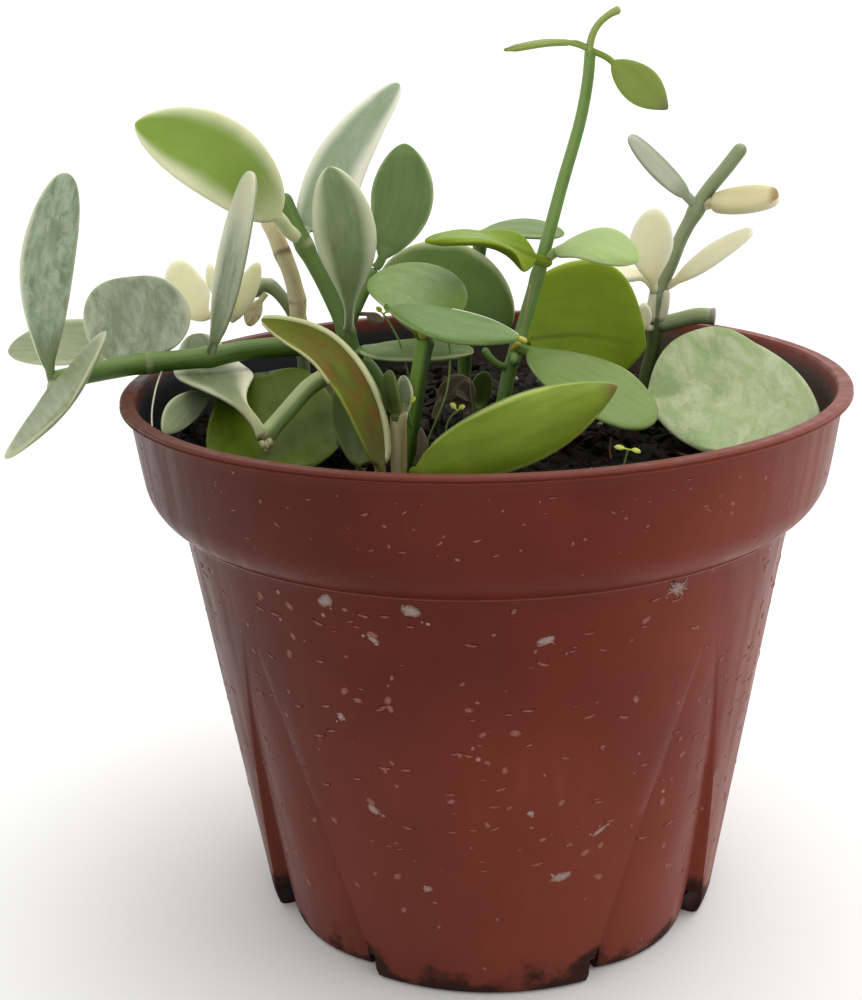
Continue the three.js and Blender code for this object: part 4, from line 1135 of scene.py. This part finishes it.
def trailing_stem(grown):
    """The long stem that lies over the rim on the left and bears silver leaves past it."""
    grown.stem(
        [*root_points(-15, 13), (-18, 13, 80.5), (-23.5, 11, 84), (-28.7, 9, 84.9), (-35.1, 6, 85.2),
        (-40.8, 3, 84.8), (-49.5, 1, 84.5), (-55, -1, 84.1), (-60, -2, 83.4), (-63.3, -3, 82.8)], 1.5,
        "stem_green", nodes=(6, 7, 10), swell=0.15,
    )
    grown.leaf(
        [(-63.1, -3, 83.1), (-63.2, -3.1, 84.6), (-63.1, -3.6, 88.5), (-60.9, -6, 100.2),
        (-56, -8, 112.9)], 7.3, (0.25, -1, 0.1), "silver", foot=0.57, wide=1.23, tip=0.43,
    )
    grown.leaf(
        [(-63, -3, 82.8), (-62.4, -5.5, 82.4), (-60.2, -10, 82.2), (-57.4, -15.5, 82)], 23,
        (-0.6, -0.4, 0.69), "grey", foot=0.7, tip=0.7, cup=0.1,
    )
    grown.leaf(
        [(-49.6, 1.8, 84.6), (-50.5, 3.6, 84.4), (-51.7, 6, 90.6), (-52.1, 6.5, 96.6)], 16.4, (0, -1, 0.2),
        "silver_round", foot=0.3, tip=0.3,
    )
    grown.leaf(
        [(-49.6, 1, 84.6), (-55, 7, 85), (-64.5, 12, 85.4), (-74.8, 14, 84.6)], 11.2, (0, -0.5, 0.87),
        "grey", foot=0.7, tip=0.5,
    )
    grown.leaf(
        [(-40.9, 3, 85), (-39.6, 1.4, 87.3), (-35.3, -2, 99.2), (-31.1, -4.6, 112)], 10,
        (-0.9, -0.48, 0.1), "silver_tipped", foot=0.6, tip=0.4,
    )
    grown.stem(
        [(-47.5, 1, 83.6), (-48, -2, 81.6), (-48, -6, 79), (-47.4, -9.5, 76.8)], 0.14, "stem_pale", sides=6,
    )


def arching_stem(grown):
    """The short stem that arches down to the soil, with a leaf back under the trailing one."""
    grown.stem(
        [*root_points(-17, -6), (-17.5, -6, 79), (-20.5, -6.5, 83.6), (-24, -9, 83), (-27.2, -14.5, 80.4),
        (-29.8, -20, 78.1)], 1.25, "stem_light", nodes=(6,),
    )
    grown.leaf(
        [(-29.9, -20, 78.4), (-31.2, -17.5, 80), (-36.5, -7, 82), (-42.5, 9, 82), (-44.7, 15, 86)], 11.4,
        (0.2, -0.5, 0.85), "grey_folded", foot=1.2, tip=0.45, wide=1.5, cup=0.1,
    )
    for x, z, size in ((-29.3, 77.4, 0.55), (-29.9, 77.5, 0.45), (-28.9, 77.8, 0.45), (-29.5, 77, 0.4)):
        grown.stem(
            [(x, -20.6, z + 0.4), (x + 0.3, -21, z), (x + 0.1, -21.1, z - 0.4)], size, "stem_beige",
            sides=8,
        )


def leaning_stem(grown):
    """The tall leaning stem of cream-edged leaves."""
    grown.stem(
        [*root_points(-17, 5), (-18.5, 5, 81), (-20.3, 5, 88), (-23, 6, 94.5), (-26, 7, 100.4),
        (-27.8, 8, 104.4), (-29.2, 9, 107.8)], 1.25, "stem_green", nodes=(3, 5),
    )
    grown.stem([(-20.3, 5.2, 87.6), (-18.4, 7.2, 91.5), (-15.8, 9, 96.5)], 0.9, "stem_green")
    grown.leaf(
        [(-26.2, 7, 101), (-28.2, 6.2, 102.8), (-29.6, 5.2, 105), (-36.4, 1.8, 113.2), (-47.5, -2, 118.8)],
        11.6, (0.1, -0.95, 0.3), "cream_edged", stalk_spans=2, foot=0.46, tip=0.6, stalk=1,
    )
    grown.leaf(
        [(-26, 7.4, 101.4), (-25.8, 9, 102.5), (-21.1, 13, 112.1), (-11.7, 18, 122.6)], 7.4,
        (-0.1, -1, 0.1), "cream_edged_grey", foot=0.5, tip=0.45, wide=0.68,
        halves=((1.55, 0.85), (0.95, 0.95)),
    )
    grown.leaf(
        [(-20.3, 5, 87.8), (-19.4, 2.5, 90.3), (-19, -1, 102.1), (-20.7, -2, 112.3)], 8.9, (0, -1, 0.1),
        "cream_lined", foot=1, tip=0.55, wide=1.35,
    )
    grown.leaf(
        [(-15.8, 9, 96.5), (-14.7, 9.3, 98), (-11.7, 11, 105.5), (-10.8, 12, 114.3)], 9.3, (0.1, -1, 0),
        "dark", foot=0.6, tip=0.6, wide=1.15,
    )
    grown.leaf(
        [(-18.5, 5, 83), (-17, -1, 86.2), (-9, -8, 87.3), (-1.2, -12, 87.7)], 10.5, (0, -0.12, 1),
        "blue_green", foot=0.7, tip=0.6, cup=0.05,
    )
    grown.stem([(-17.2, 9.6, 102.8), (-16.7, 11, 103.4), (-15.9, 10, 102.6)], 0.7, "stem_cream", sides=10)


def old_stem(grown):
    """An old bare stem, cream and corky at its nodes."""
    grown.stem(
        [*root_points(-23.5, 15.5), (-25, 14.5, 81), (-28.1, 13, 87.6), (-28.3, 12.7, 91.5),
        (-29.1, 12.4, 95.8), (-30.1, 12.4, 98.6), (-31.3, 13, 101.8), (-32.6, 14, 104)], 1.3, "stem_cream",
        nodes=(4, 6), swell=0.1,
    )


def cream_shoot_left(grown):
    """A small shoot of cream leaves behind the trailing stem."""
    grown.stem(
        [*root_points(-29, 21), (-29, 20, 82), (-30, 18.5, 88.5), (-33.5, 18, 93), (-36.2, 17.5, 91.5)], 1,
        "stem_grey", nodes=(4,),
    )
    grown.leaf(
        [(-36.2, 17.5, 91.6), (-43, 18, 88.4), (-46.6, 18.5, 92.3), (-48, 19, 97.2)], 6.6, (0.3, -1, 0),
        "cream", foot=0.7, tip=0.5, stalk=0.6, thick=1,
    )
    grown.leaf(
        [(-36.2, 17.5, 91.6), (-38.4, 17.5, 90.6), (-41.5, 18, 93), (-42.8, 19, 96.5)], 3.2, (-0.4, -1, 0),
        "cream", stalk=0.6, thick=1,
    )
    grown.leaf(
        [(-36.4, 17.3, 91.2), (-39.2, 16.4, 88), (-36.7, 14.8, 92.4), (-34.2, 14.4, 97.1)], 3.4,
        (0.2, -1, 0), "cream", foot=0.5, tip=0.5, stalk=0.6, thick=1,
    )
    grown.leaf(
        [(-33.8, 17.4, 91.8), (-34.8, 17, 90.6), (-36, 16.6, 88.8), (-36.8, 16.4, 86.8)], 2.6,
        (0.2, -1, 0), "cream_spotted", stalk=0.5, thick=0.9,
    )


def low_leaf_left(grown):
    """A lone leaf that arches out of the soil to the left and forward."""
    grown.leaf(
        [*root_points(-37.5, 2.5), (-38.6, 2, 76.8), (-41.2, 0.4, 79.2), (-43.8, -5.4, 78.6),
        (-45.3, -11.6, 77)], 4.4, (0.69, -0.37, 0.6), "grey", stalk_spans=3, foot=0.45, tip=0.6, cup=0.1,
        stalk=0.6, thick=1,
    )


def broad_leaf_left(grown):
    """A large leaf lying back over the soil at the front left, notched at its end."""
    grown.leaf(
        [*root_points(-25.5, -27), (-25.8, -26, 75), (-29.5, -11, 76), (-32.3, 4, 81.3)], 19.6,
        (-0.05, -0.35, 0.93), "olive", stalk_spans=2, foot=0.35, tip=0.28, cup=0.04, stalk=0.8, thick=1.2,
        notch=1.6,
    )


def narrow_leaf_left(grown):
    """A narrow grey-green leaf that stands beside it."""
    grown.leaf(
        [*root_points(-16.4, -22), (-16.5, -21.6, 74.6), (-17.1, -16.5, 78.5), (-19.8, -11.5, 84.5)], 6.6,
        (0.1, -0.85, 0.5), "deep_grey", stalk_spans=2, foot=0.5, tip=0.8, cup=0.05, thick=1,
    )


def withered_leaf(grown):
    """A dying leaf, folded and curled over to the left, with a rolled cream margin."""
    edge, other = grown.leaf(
        [*root_points(-13.4, -27.2), (-13.6, -27, 76.4), (-15.4, -25.6, 82.6), (-18, -22.8, 86.8),
        (-22, -19.2, 90.4), (-29.6, -15, 93.6)], 6, (0.6, -0.7, 0.4), "withered", stalk_spans=2, foot=0.4,
        tip=0.6, cup=0.4, thick=0.9,
    )
    grown.rim(edge, 0.55, "stem_margin", 0, 1)
    grown.rim(other, 0.24, "stem_beige", 0.45, 0.95)


def bud_shoot(grown):
    """A new shoot with its first leaves still shut."""
    grown.stem(
        [*root_points(-11.2, -24), (-11.1, -24, 78.8), (-11, -23.8, 82.6)], 1.1, "stem_beige", dome=0.5,
    )
    grown.leaf(
        [(-11, -23.9, 79.5), (-11.3, -24.3, 82.3), (-12, -24.4, 85.2), (-12, -24, 88.2)], 2.4,
        (-0.5, -0.9, 0.1), "deep_grey", foot=0.5, tip=0.6, cup=-0.2, thick=1.3,
    )
    grown.leaf(
        [(-11, -23.7, 79.5), (-10.5, -23.4, 82.3), (-10.1, -23.2, 84.6), (-10.3, -23, 87.2)], 2.1,
        (0.4, -0.9, 0.1), "grey_folded", foot=0.5, tip=0.6, cup=-0.2, thick=1.3,
    )


def front_stem(grown):
    """The front stem with a pair of leaves on top and a long folded leaf at its foot."""
    grown.stem(
        [*root_points(-10.3, -21.5), (-9.6, -21.5, 79), (-8.4, -21, 86), (-7.2, -20, 91.8)], 1.15,
        "stem_dark", nodes=(4,),
    )
    grown.leaf(
        [(-7.5, -20, 91.6), (-4.8, -15.5, 93.2), (-9, -10, 96.2), (-15.3, -7.5, 97.4)], 12.6,
        (0, -0.4, 0.92), "green", foot=0.5, tip=0.5, cup=0.05,
    )
    grown.stem([(-7.4, -20, 91), (-8.2, -20.8, 92.4), (-8.6, -21, 93.6)], 0.7, "stem_dark", sides=10)
    _, edge = grown.leaf(
        [(-12.3, -19.6, 95.8), (-11.9, -19.8, 95.5), (-4, -22, 93.3), (5, -24.5, 92)], 6.6,
        (0.1, -0.46, 0.88), "glossy_green", foot=0.6, tip=0.7, cup=0.08, stalk=0.3,
    )
    # A white cord along the leaf's upper edge: a painted highlight
    grown.rim(edge, 0.2, "highlight_white", 0.45, 0.92)
    grown.stem([(4.8, -24.4, 92), (5.4, -24.5, 91.8), (5.8, -24.6, 91.5)], 0.4, "bud_yellow", sides=10)
    grown.stem([(-7.6, -21.4, 92), (-7.8, -22.2, 92.9), (-8, -22.5, 93.6)], 0.55, "bud_yellow", sides=10)
    _, edge = grown.leaf(
        [(-9.2, -22.4, 74), (-8.5, -25.4, 74.9), (-2, -26.4, 77.8), (4.2, -26, 80.1), (17.7, -22, 85)],
        9.4, (-0.2, -0.9, 0.45), "yellow_green", foot=0.5, tip=0.75, cup=-0.25,
    )
    # A bright green cord along the leaf's upper edge: a painted highlight
    grown.rim(edge, 0.2, "stem_bright", 0.2, 0.95)
    grown.leaf(
        [(-9.2, -22.6, 75), (-9, -24, 75.6), (-8, -24.6, 77.4), (-8.1, -24.4, 80.5)], 1.4, (0, -1, 0.1),
        "dry", thick=0.5, stalk=0.3, tip_radius=0.1,
    )


def tall_stem(grown):
    """The tall stem with three pairs of leaves and the bud at its tip."""
    grown.stem(
        [*root_points(2.4, -2), (3.3, -2, 79.2), (4.1, -1.5, 82.8), (5.3, -1, 86.4), (6.8, 0, 91.3),
        (8.3, 1, 96.1), (9.4, 1, 100.1), (11.8, 2, 108.6), (14.2, 2, 116.8), (15.2, 1, 122.4),
        (15.5, 0, 127)], 1.15, "stem_bright", nodes=(4, 6), taper=0.32, swell=0.15,
    )
    grown.stem(
        [(15.2, 0, 126), (15.7, -0.4, 128.5), (16.7, -0.9, 130.1), (18.2, -1.4, 131.2),
        (19.3, -1.8, 131.6)], 0.55, "stem_tip", taper=0.2, nodes=(4,), swell=0.3,
    )
    grown.leaf(
        [(4.9, -1, 85.5), (7, -4, 86), (15.7, -11, 82.4), (23.6, -14.5, 77.8)], 14, (0.2, -0.35, 0.92),
        "bright_green", foot=0.45, tip=0.45, wide=1.3, cup=0.04,
    )
    grown.leaf(
        [(5.6, -1, 86.2), (6.8, 4.5, 86), (15.8, 9, 85.6), (25.4, 12, 83.1)], 21.5, (0, -0.97, 0.25),
        "broad_green", foot=0.3, tip=0.75, cup=0.08, halves=((0.95, 1.05), (0.8, 1.05)),
    )
    grown.leaf(
        [(9.8, 1, 97.9), (7.5, -2, 99), (0.1, -8, 102.5), (-7.3, -12, 103)], 9.4, (0, -0.85, 0.5),
        "broad_green", foot=0.5, tip=0.65, cup=0.1, turn=(0, 0.95),
    )
    grown.leaf(
        [(9, 1, 97.8), (11, 0, 99.5), (15.8, -3, 101.2), (21.8, -6, 98.7)], 10.5, (0.1, -0.35, 0.94),
        "young_green", foot=0.6, tip=0.6, cup=-0.05,
    )
    grown.leaf(
        [(15.4, 0, 126.7), (13.3, -1, 127.5), (11.2, -2, 127.7), (8.6, -3, 127.6), (3.6, -5, 126.9)], 2.6,
        (0, -0.12, 1), "tip_green", foot=0.7, tip=0.9, stalk=0.45, tip_radius=0.25, thick=0.9,
    )
    grown.leaf(
        [(15.4, 0, 126.6), (17.4, -0.3, 125.7), (18.5, -0.5, 124.9), (22.1, -2, 121.8), (25.8, -3, 118.7)],
        5.3, (0.2, -1, 0.2), "tip_green", stalk_spans=2, foot=0.6, tip=0.85, stalk=0.42, thick=1,
    )
    grown.stem([(7.2, -1.6, 95.2), (6.8, -2, 93), (6.2, -2.4, 89.9)], 0.16, "stem_beige", sides=6)
    grown.stem([(4.5, -1.6, 84.6), (4.9, -3.2, 85.2), (4.5, -4.2, 84.1)], 0.7, "stem_bright", sides=12)
    grown.stem([(4.6, -2.4, 86), (5, -3.4, 86.8), (5.5, -3.8, 87.4)], 0.4, "bud_yellow", sides=10)
    grown.stem(
        [(4, -1.6, 83), (2.2, -2.6, 84), (0.9, -3, 85.4), (0.4, -3, 86.5)], 0.55, "stem_bright", sides=12,
    )


def back_stem(grown):
    """The stem at the back with a broad leaf that faces the front and one that points right."""
    grown.stem(
        [*root_points(-3, 18), (-2.4, 18, 83), (-1, 17.5, 92), (0.2, 16.5, 99.4)], 1.1, "stem_green",
        nodes=(2,),
    )
    grown.leaf(
        [(-2.2, 18, 84), (3.6, 13.5, 86), (-4, 13.8, 91.2), (-15.6, 13.2, 94.4)], 15.6, (0, -0.97, 0.2),
        "pale_banded", foot=0.5, tip=0.5, cup=0.06,
    )
    grown.leaf(
        [(0.2, 16.5, 99), (0, 15.5, 100.2), (6.2, 15, 101), (12.9, 14, 100.2)], 11, (0, -0.12, 1),
        "blue_green", foot=0.6, tip=0.6, cup=0.05,
    )


def cream_stem_right(grown):
    """The stem at the right with small cream leaves and a cut side branch."""
    grown.stem(
        [*root_points(26, 20), (27.6, 20, 81.6), (27.7, 20, 86.4), (28, 20, 89.7), (29.8, 20, 94.1),
        (31.4, 20, 98.4), (33.6, 20, 102.6), (35.1, 20, 105.3), (38, 20, 108.9), (40.5, 20, 112.2)], 1.12,
        "stem_grey", nodes=(4, 7), swell=0.25,
    )
    grown.stem([*root_points(26, 20), (27.6, 20, 81.6), (27.7, 20, 86.4)], 1.22, "stem_olive", dome=0.3)
    grown.stem(
        [(28.4, 20, 84.8), (31.5, 19.2, 85.7), (34.2, 18.5, 86.4), (36.4, 18, 86.3)], 1.3, "stub_green",
        dome=0.2,
    )
    grown.stem([(36.2, 18.05, 86.32), (36.9, 17.9, 86.3)], 1.38, "cut_end", dome=0.15)
    grown.leaf(
        [(33.4, 20, 103.4), (31.6, 19, 105.2), (26.8, 16, 109.8), (22.5, 14, 114.3)], 3, (-0.5, -0.9, 0.3),
        "cream_striped", foot=0.35, tip=0.35, stalk=0.75, thick=1.2,
    )
    grown.leaf(
        [(34.2, 20, 103), (35.8, 19, 103.7), (40.3, 16, 104.3), (44.9, 14, 104.9)], 5, (0, -0.7, 0.7),
        "cream_thick", foot=0.35, tip=0.35, stalk=0.8, thick=2.4,
    )
    grown.leaf(
        [(27.8, 20, 88.8), (27.1, 18.8, 91.5), (26.4, 17, 97.7), (26.7, 16, 103.5)], 6.7, (0, -1, 0),
        "cream", foot=0.8, tip=0.5, wide=1.2, stalk=0.7, thick=1,
    )
    grown.leaf(
        [(28.7, 20, 90.4), (30.7, 19, 91.9), (36.1, 16, 96.5), (41.3, 14, 100.1)], 3.2, (0.2, -0.8, 0.5),
        "cream", foot=0.6, tip=0.4, stalk=0.6, thick=1,
    )
    grown.leaf(
        [(27.6, 20, 90.4), (25.6, 21, 92.3), (20.4, 22.6, 93), (14.8, 24, 94.2)], 4.8, (0, -0.5, 0.85),
        "cream", foot=0.5, tip=0.45, stalk=0.6, thick=1.2,
    )
    grown.leaf(
        [(28, 20, 84.5), (26.2, 18.4, 84.8), (25.6, 17.4, 86.8), (25.4, 16.6, 89)], 2.4, (0.2, -1, 0),
        "cream", stalk=0.5, thick=1,
    )
    for x in (-0.8, 0.8):
        grown.stem(
            [(27.8 + x, 19.4, 85.6), (28 + x * 1.3, 19.2, 88), (28.3 + x, 19.4, 90.6)], 0.75, "stem_pale",
            sides=10,
        )


def broad_leaf_right(grown):
    """The largest leaf, leaning back inside the rim on the right."""
    grown.leaf(
        [*root_points(33.4, -17.6), (33.5, -17.2, 73.8), (36.2, -4.4, 79.2), (32.8, 6, 86.7)], 24,
        (-0.08, -0.56, 0.83), "mottled", stalk_spans=2, foot=0.42, tip=0.42, cup=0.05, stalk=0.8,
        thick=1.6, halves=((1.15, 1.05), (0.62, 1.08)),
    )


def seedlings(grown):
    """Hair-thin seedlings among the stems, each with a pair of seed leaves, and a dry thread."""
    sprouts = (
        ([(-9.8, -8, 73), (-10, -8, 81.4), (-11.4, -8, 88.2), (-12.6, -8, 91), (-13.6, -8, 92.6)],
         ((-14.6, -8, 93.6), (-12.4, -8, 93.3))),
        ([(-9.4, -22.6, 80), (-9.6, -23.2, 82), (-9.8, -23.4, 83.2)],
         ((-8.7, -23.8, 84.4), (-10.6, -23.8, 83.9))),
        ([(-5.3, -14, 73), (-5.1, -14, 77.3), (-4.5, -14, 79), (-3.5, -14, 80)],
         ((-4.4, -14, 81.1), (-2.4, -14, 80.7))),
        ([(-7.9, -14, 73), (-7.6, -14, 75.9), (-5, -14, 82.3), (-4.3, -13, 87.4), (-4.6, -14, 90.5)],
         ((-5.6, -14, 91.4), (-3.8, -14, 91.3))),
        ([(18.7, -20, 72.6), (19.2, -20, 74.5), (19.5, -20, 75.7)], ((17.6, -20, 76.1), (21.2, -20, 75.3))),
    )
    for points, tips in sprouts:
        grown.stem(points, 0.14, "stem_bright", sides=6)
        top = Vector(points[-1])
        for tip in tips:
            middle = top.lerp(Vector(tip), 0.5) + Vector((0, 0, 0.1))
            grown.leaf(
                [tuple(top), tuple(top.lerp(middle, 0.5)), tuple(middle), tip], 0.9, (0, -0.6, 0.8),
                "seed_leaf", stalk=0.12, tip_radius=0.08, thick=0.25, rib=0, sides=8, steps=8,
            )
    grown.stem([(17.9, -16, 72), (17.4, -16, 74.6), (17.6, -16, 76.3)], 0.14, "root_red", sides=6)


def dead_scraps(grown):
    """Dry leaf litter that lies between the stems."""
    grown.leaf(
        [(-7.4, 5, 73.4), (-6.2, 6, 76.6), (-3.6, 5.4, 79), (-1.4, 4.4, 77)], 3.4, (0, -0.8, 0.5), "dry",
        foot=0.4, tip=0.4, cup=0.5, thick=0.7,
    )
    grown.leaf(
        [(-2.4, 4, 73.4), (-2.2, 4.4, 75), (-2.8, 4.8, 77.6), (-2.2, 5, 80)], 2.4, (-0.3, -0.9, 0.2),
        "dry", foot=0.4, tip=0.5, cup=0.4, thick=0.7,
    )
    grown.leaf(
        [(-0.9, 8, 73.4), (-0.7, 8.5, 74.7), (-0.3, 9, 77.1), (0.6, 9.6, 80.2)], 3.4, (0.2, -0.9, 0.2),
        "deep_grey", foot=0.4, tip=0.5, cup=0.2, thick=0.7,
    )
    grown.leaf(
        [(-18.1, 6, 90.2), (-17, 5.6, 90.2), (-16.2, 5, 89.9), (-14.5, 4, 89.3)], 1.6, (0, -0.9, 0.4),
        "dry", stalk=0.3, tip_radius=0.15, thick=0.4,
    )


CUTTINGS = (
    trailing_stem, arching_stem, leaning_stem, old_stem, cream_shoot_left, low_leaf_left,
    broad_leaf_left, narrow_leaf_left, withered_leaf, bud_shoot, front_stem, tall_stem, back_stem,
    cream_stem_right, broad_leaf_right,
)
SLOTS = {part["node"]: part["material_slot"] for part in frame["record"]["subparts"]}
SCUFFED = mark_finish("scuffed_polypropylene", "#9a6656", 0.85)
SPLASHED = mark_finish("dried_splashes", "#92665a", 0.75)
# Small marks: the heights that they lie between, their grain, how many lie on a square metre,
# their seed, their sizes, their finish, and how far they turn from upright
WALL_MARKS = (
    ("body_scuffs", 22, 62, scuff_grain, 34000, 3, (0.15, 0.9), SCUFFED, 0.4),
    ("body_specks", 12, 63, speck_grain, 24000, 5, (0.3, 1.6), SPLASHED, 1.5),
    ("collar_scuffs", 67, 80, scuff_grain, 50000, 9, (0.12, 0.6), SCUFFED, 0.7),
    ("collar_specks", 67, 80, speck_grain, 36000, 14, (0.2, 0.8), SPLASHED, 1.5),
)


def grow(cutting, name):
    """The piece that a cutting's function fills with stems and leaves."""
    grown = Growth()
    cutting(grown)
    return grown.piece(name)


def place(piece, slot, node=None):
    """Puts a piece on the pot's body, in the stead of a solid if one is named. The slot is not used."""
    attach(piece, "root")
    if node:
        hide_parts(node)


place(pot(), SLOTS["pot"], "pot")
body, *scraps = soil()
place(body, SLOTS["soil"], "soil")
for scrap in scraps:
    place(scrap, SLOTS["soil"])
place(lime_marks(), SLOTS["pot"])
for name, low, high, lump, density, seed, sizes, finish, spin in WALL_MARKS:
    place(strew(name, wall_patch(low, high), lump(), density, seed, sizes, 0, finish, spin), SLOTS["pot"])
for cutting in CUTTINGS:
    place(grow(cutting, f"{cutting.__name__}_foliage"), SLOTS[cutting.__name__], cutting.__name__)
for litter in (seedlings, dead_scraps):
    place(grow(litter, litter.__name__), SLOTS["soil"])


# The stage

def studio():
    """A plain pale floor, a soft light that is brightest behind on the right, and the camera."""
    material, tree, shader, _ = new_material("floor_paint")
    dress(tree, shader, FLOOR_COLOUR, [], [], Roughness=0.9)
    bpy.ops.mesh.primitive_circle_add(vertices=96, radius=FLOOR_RADIUS, fill_type="NGON")
    floor = bpy.context.object
    floor.name = "floor"
    floor.data.materials.append(material)

    world = bpy.data.worlds.new("studio")
    world.use_nodes = True
    tree = world.node_tree
    sky = add(tree, "ShaderNodeTexCoord", out="Generated")
    share = add(
        tree, "ShaderNodeVectorMath", {0: sky, 1: BRIGHT_SIDE.normalized()}, "Value", operation="DOT_PRODUCT")
    level = add(tree, "ShaderNodeMapRange", (share, *SKY_TURN, SKY_DIM, SKY_BRIGHT))
    give(tree, tree.nodes["Background"].inputs[0], (1, 1, 1, 1))
    give(tree, tree.nodes["Background"].inputs[1], level)
    bpy.context.scene.world = world

    data = bpy.data.lights.new("key", "SUN")
    data.energy = KEY_POWER
    data.angle = 1
    lamp = new_object("key", data)
    lamp.rotation_euler = KEY_WAY.to_track_quat("-Z", "Y").to_euler()

    pan, tilt, roll = CAMERA_PAN, CAMERA_TILT, CAMERA_ROLL
    ahead = Vector((math.sin(pan) * math.cos(tilt), math.cos(pan) * math.cos(tilt), -math.sin(tilt)))
    level = Vector((math.cos(pan), -math.sin(pan), 0))
    upright = level.cross(ahead)
    right = level * math.cos(roll) + upright * math.sin(roll)
    up = upright * math.cos(roll) - level * math.sin(roll)
    data = bpy.data.cameras.new("camera")
    data.lens = CAMERA_LENS
    data.shift_x, data.shift_y = CAMERA_SHIFT
    data.clip_start = 0.01
    camera = new_object("camera", data)
    camera.matrix_world = Matrix.Translation(CAMERA_PLACE) @ Matrix((right, up, -ahead)).transposed().to_4x4()
    bpy.context.scene.camera = camera
    bpy.context.scene.view_settings.view_transform = "Standard"


studio()
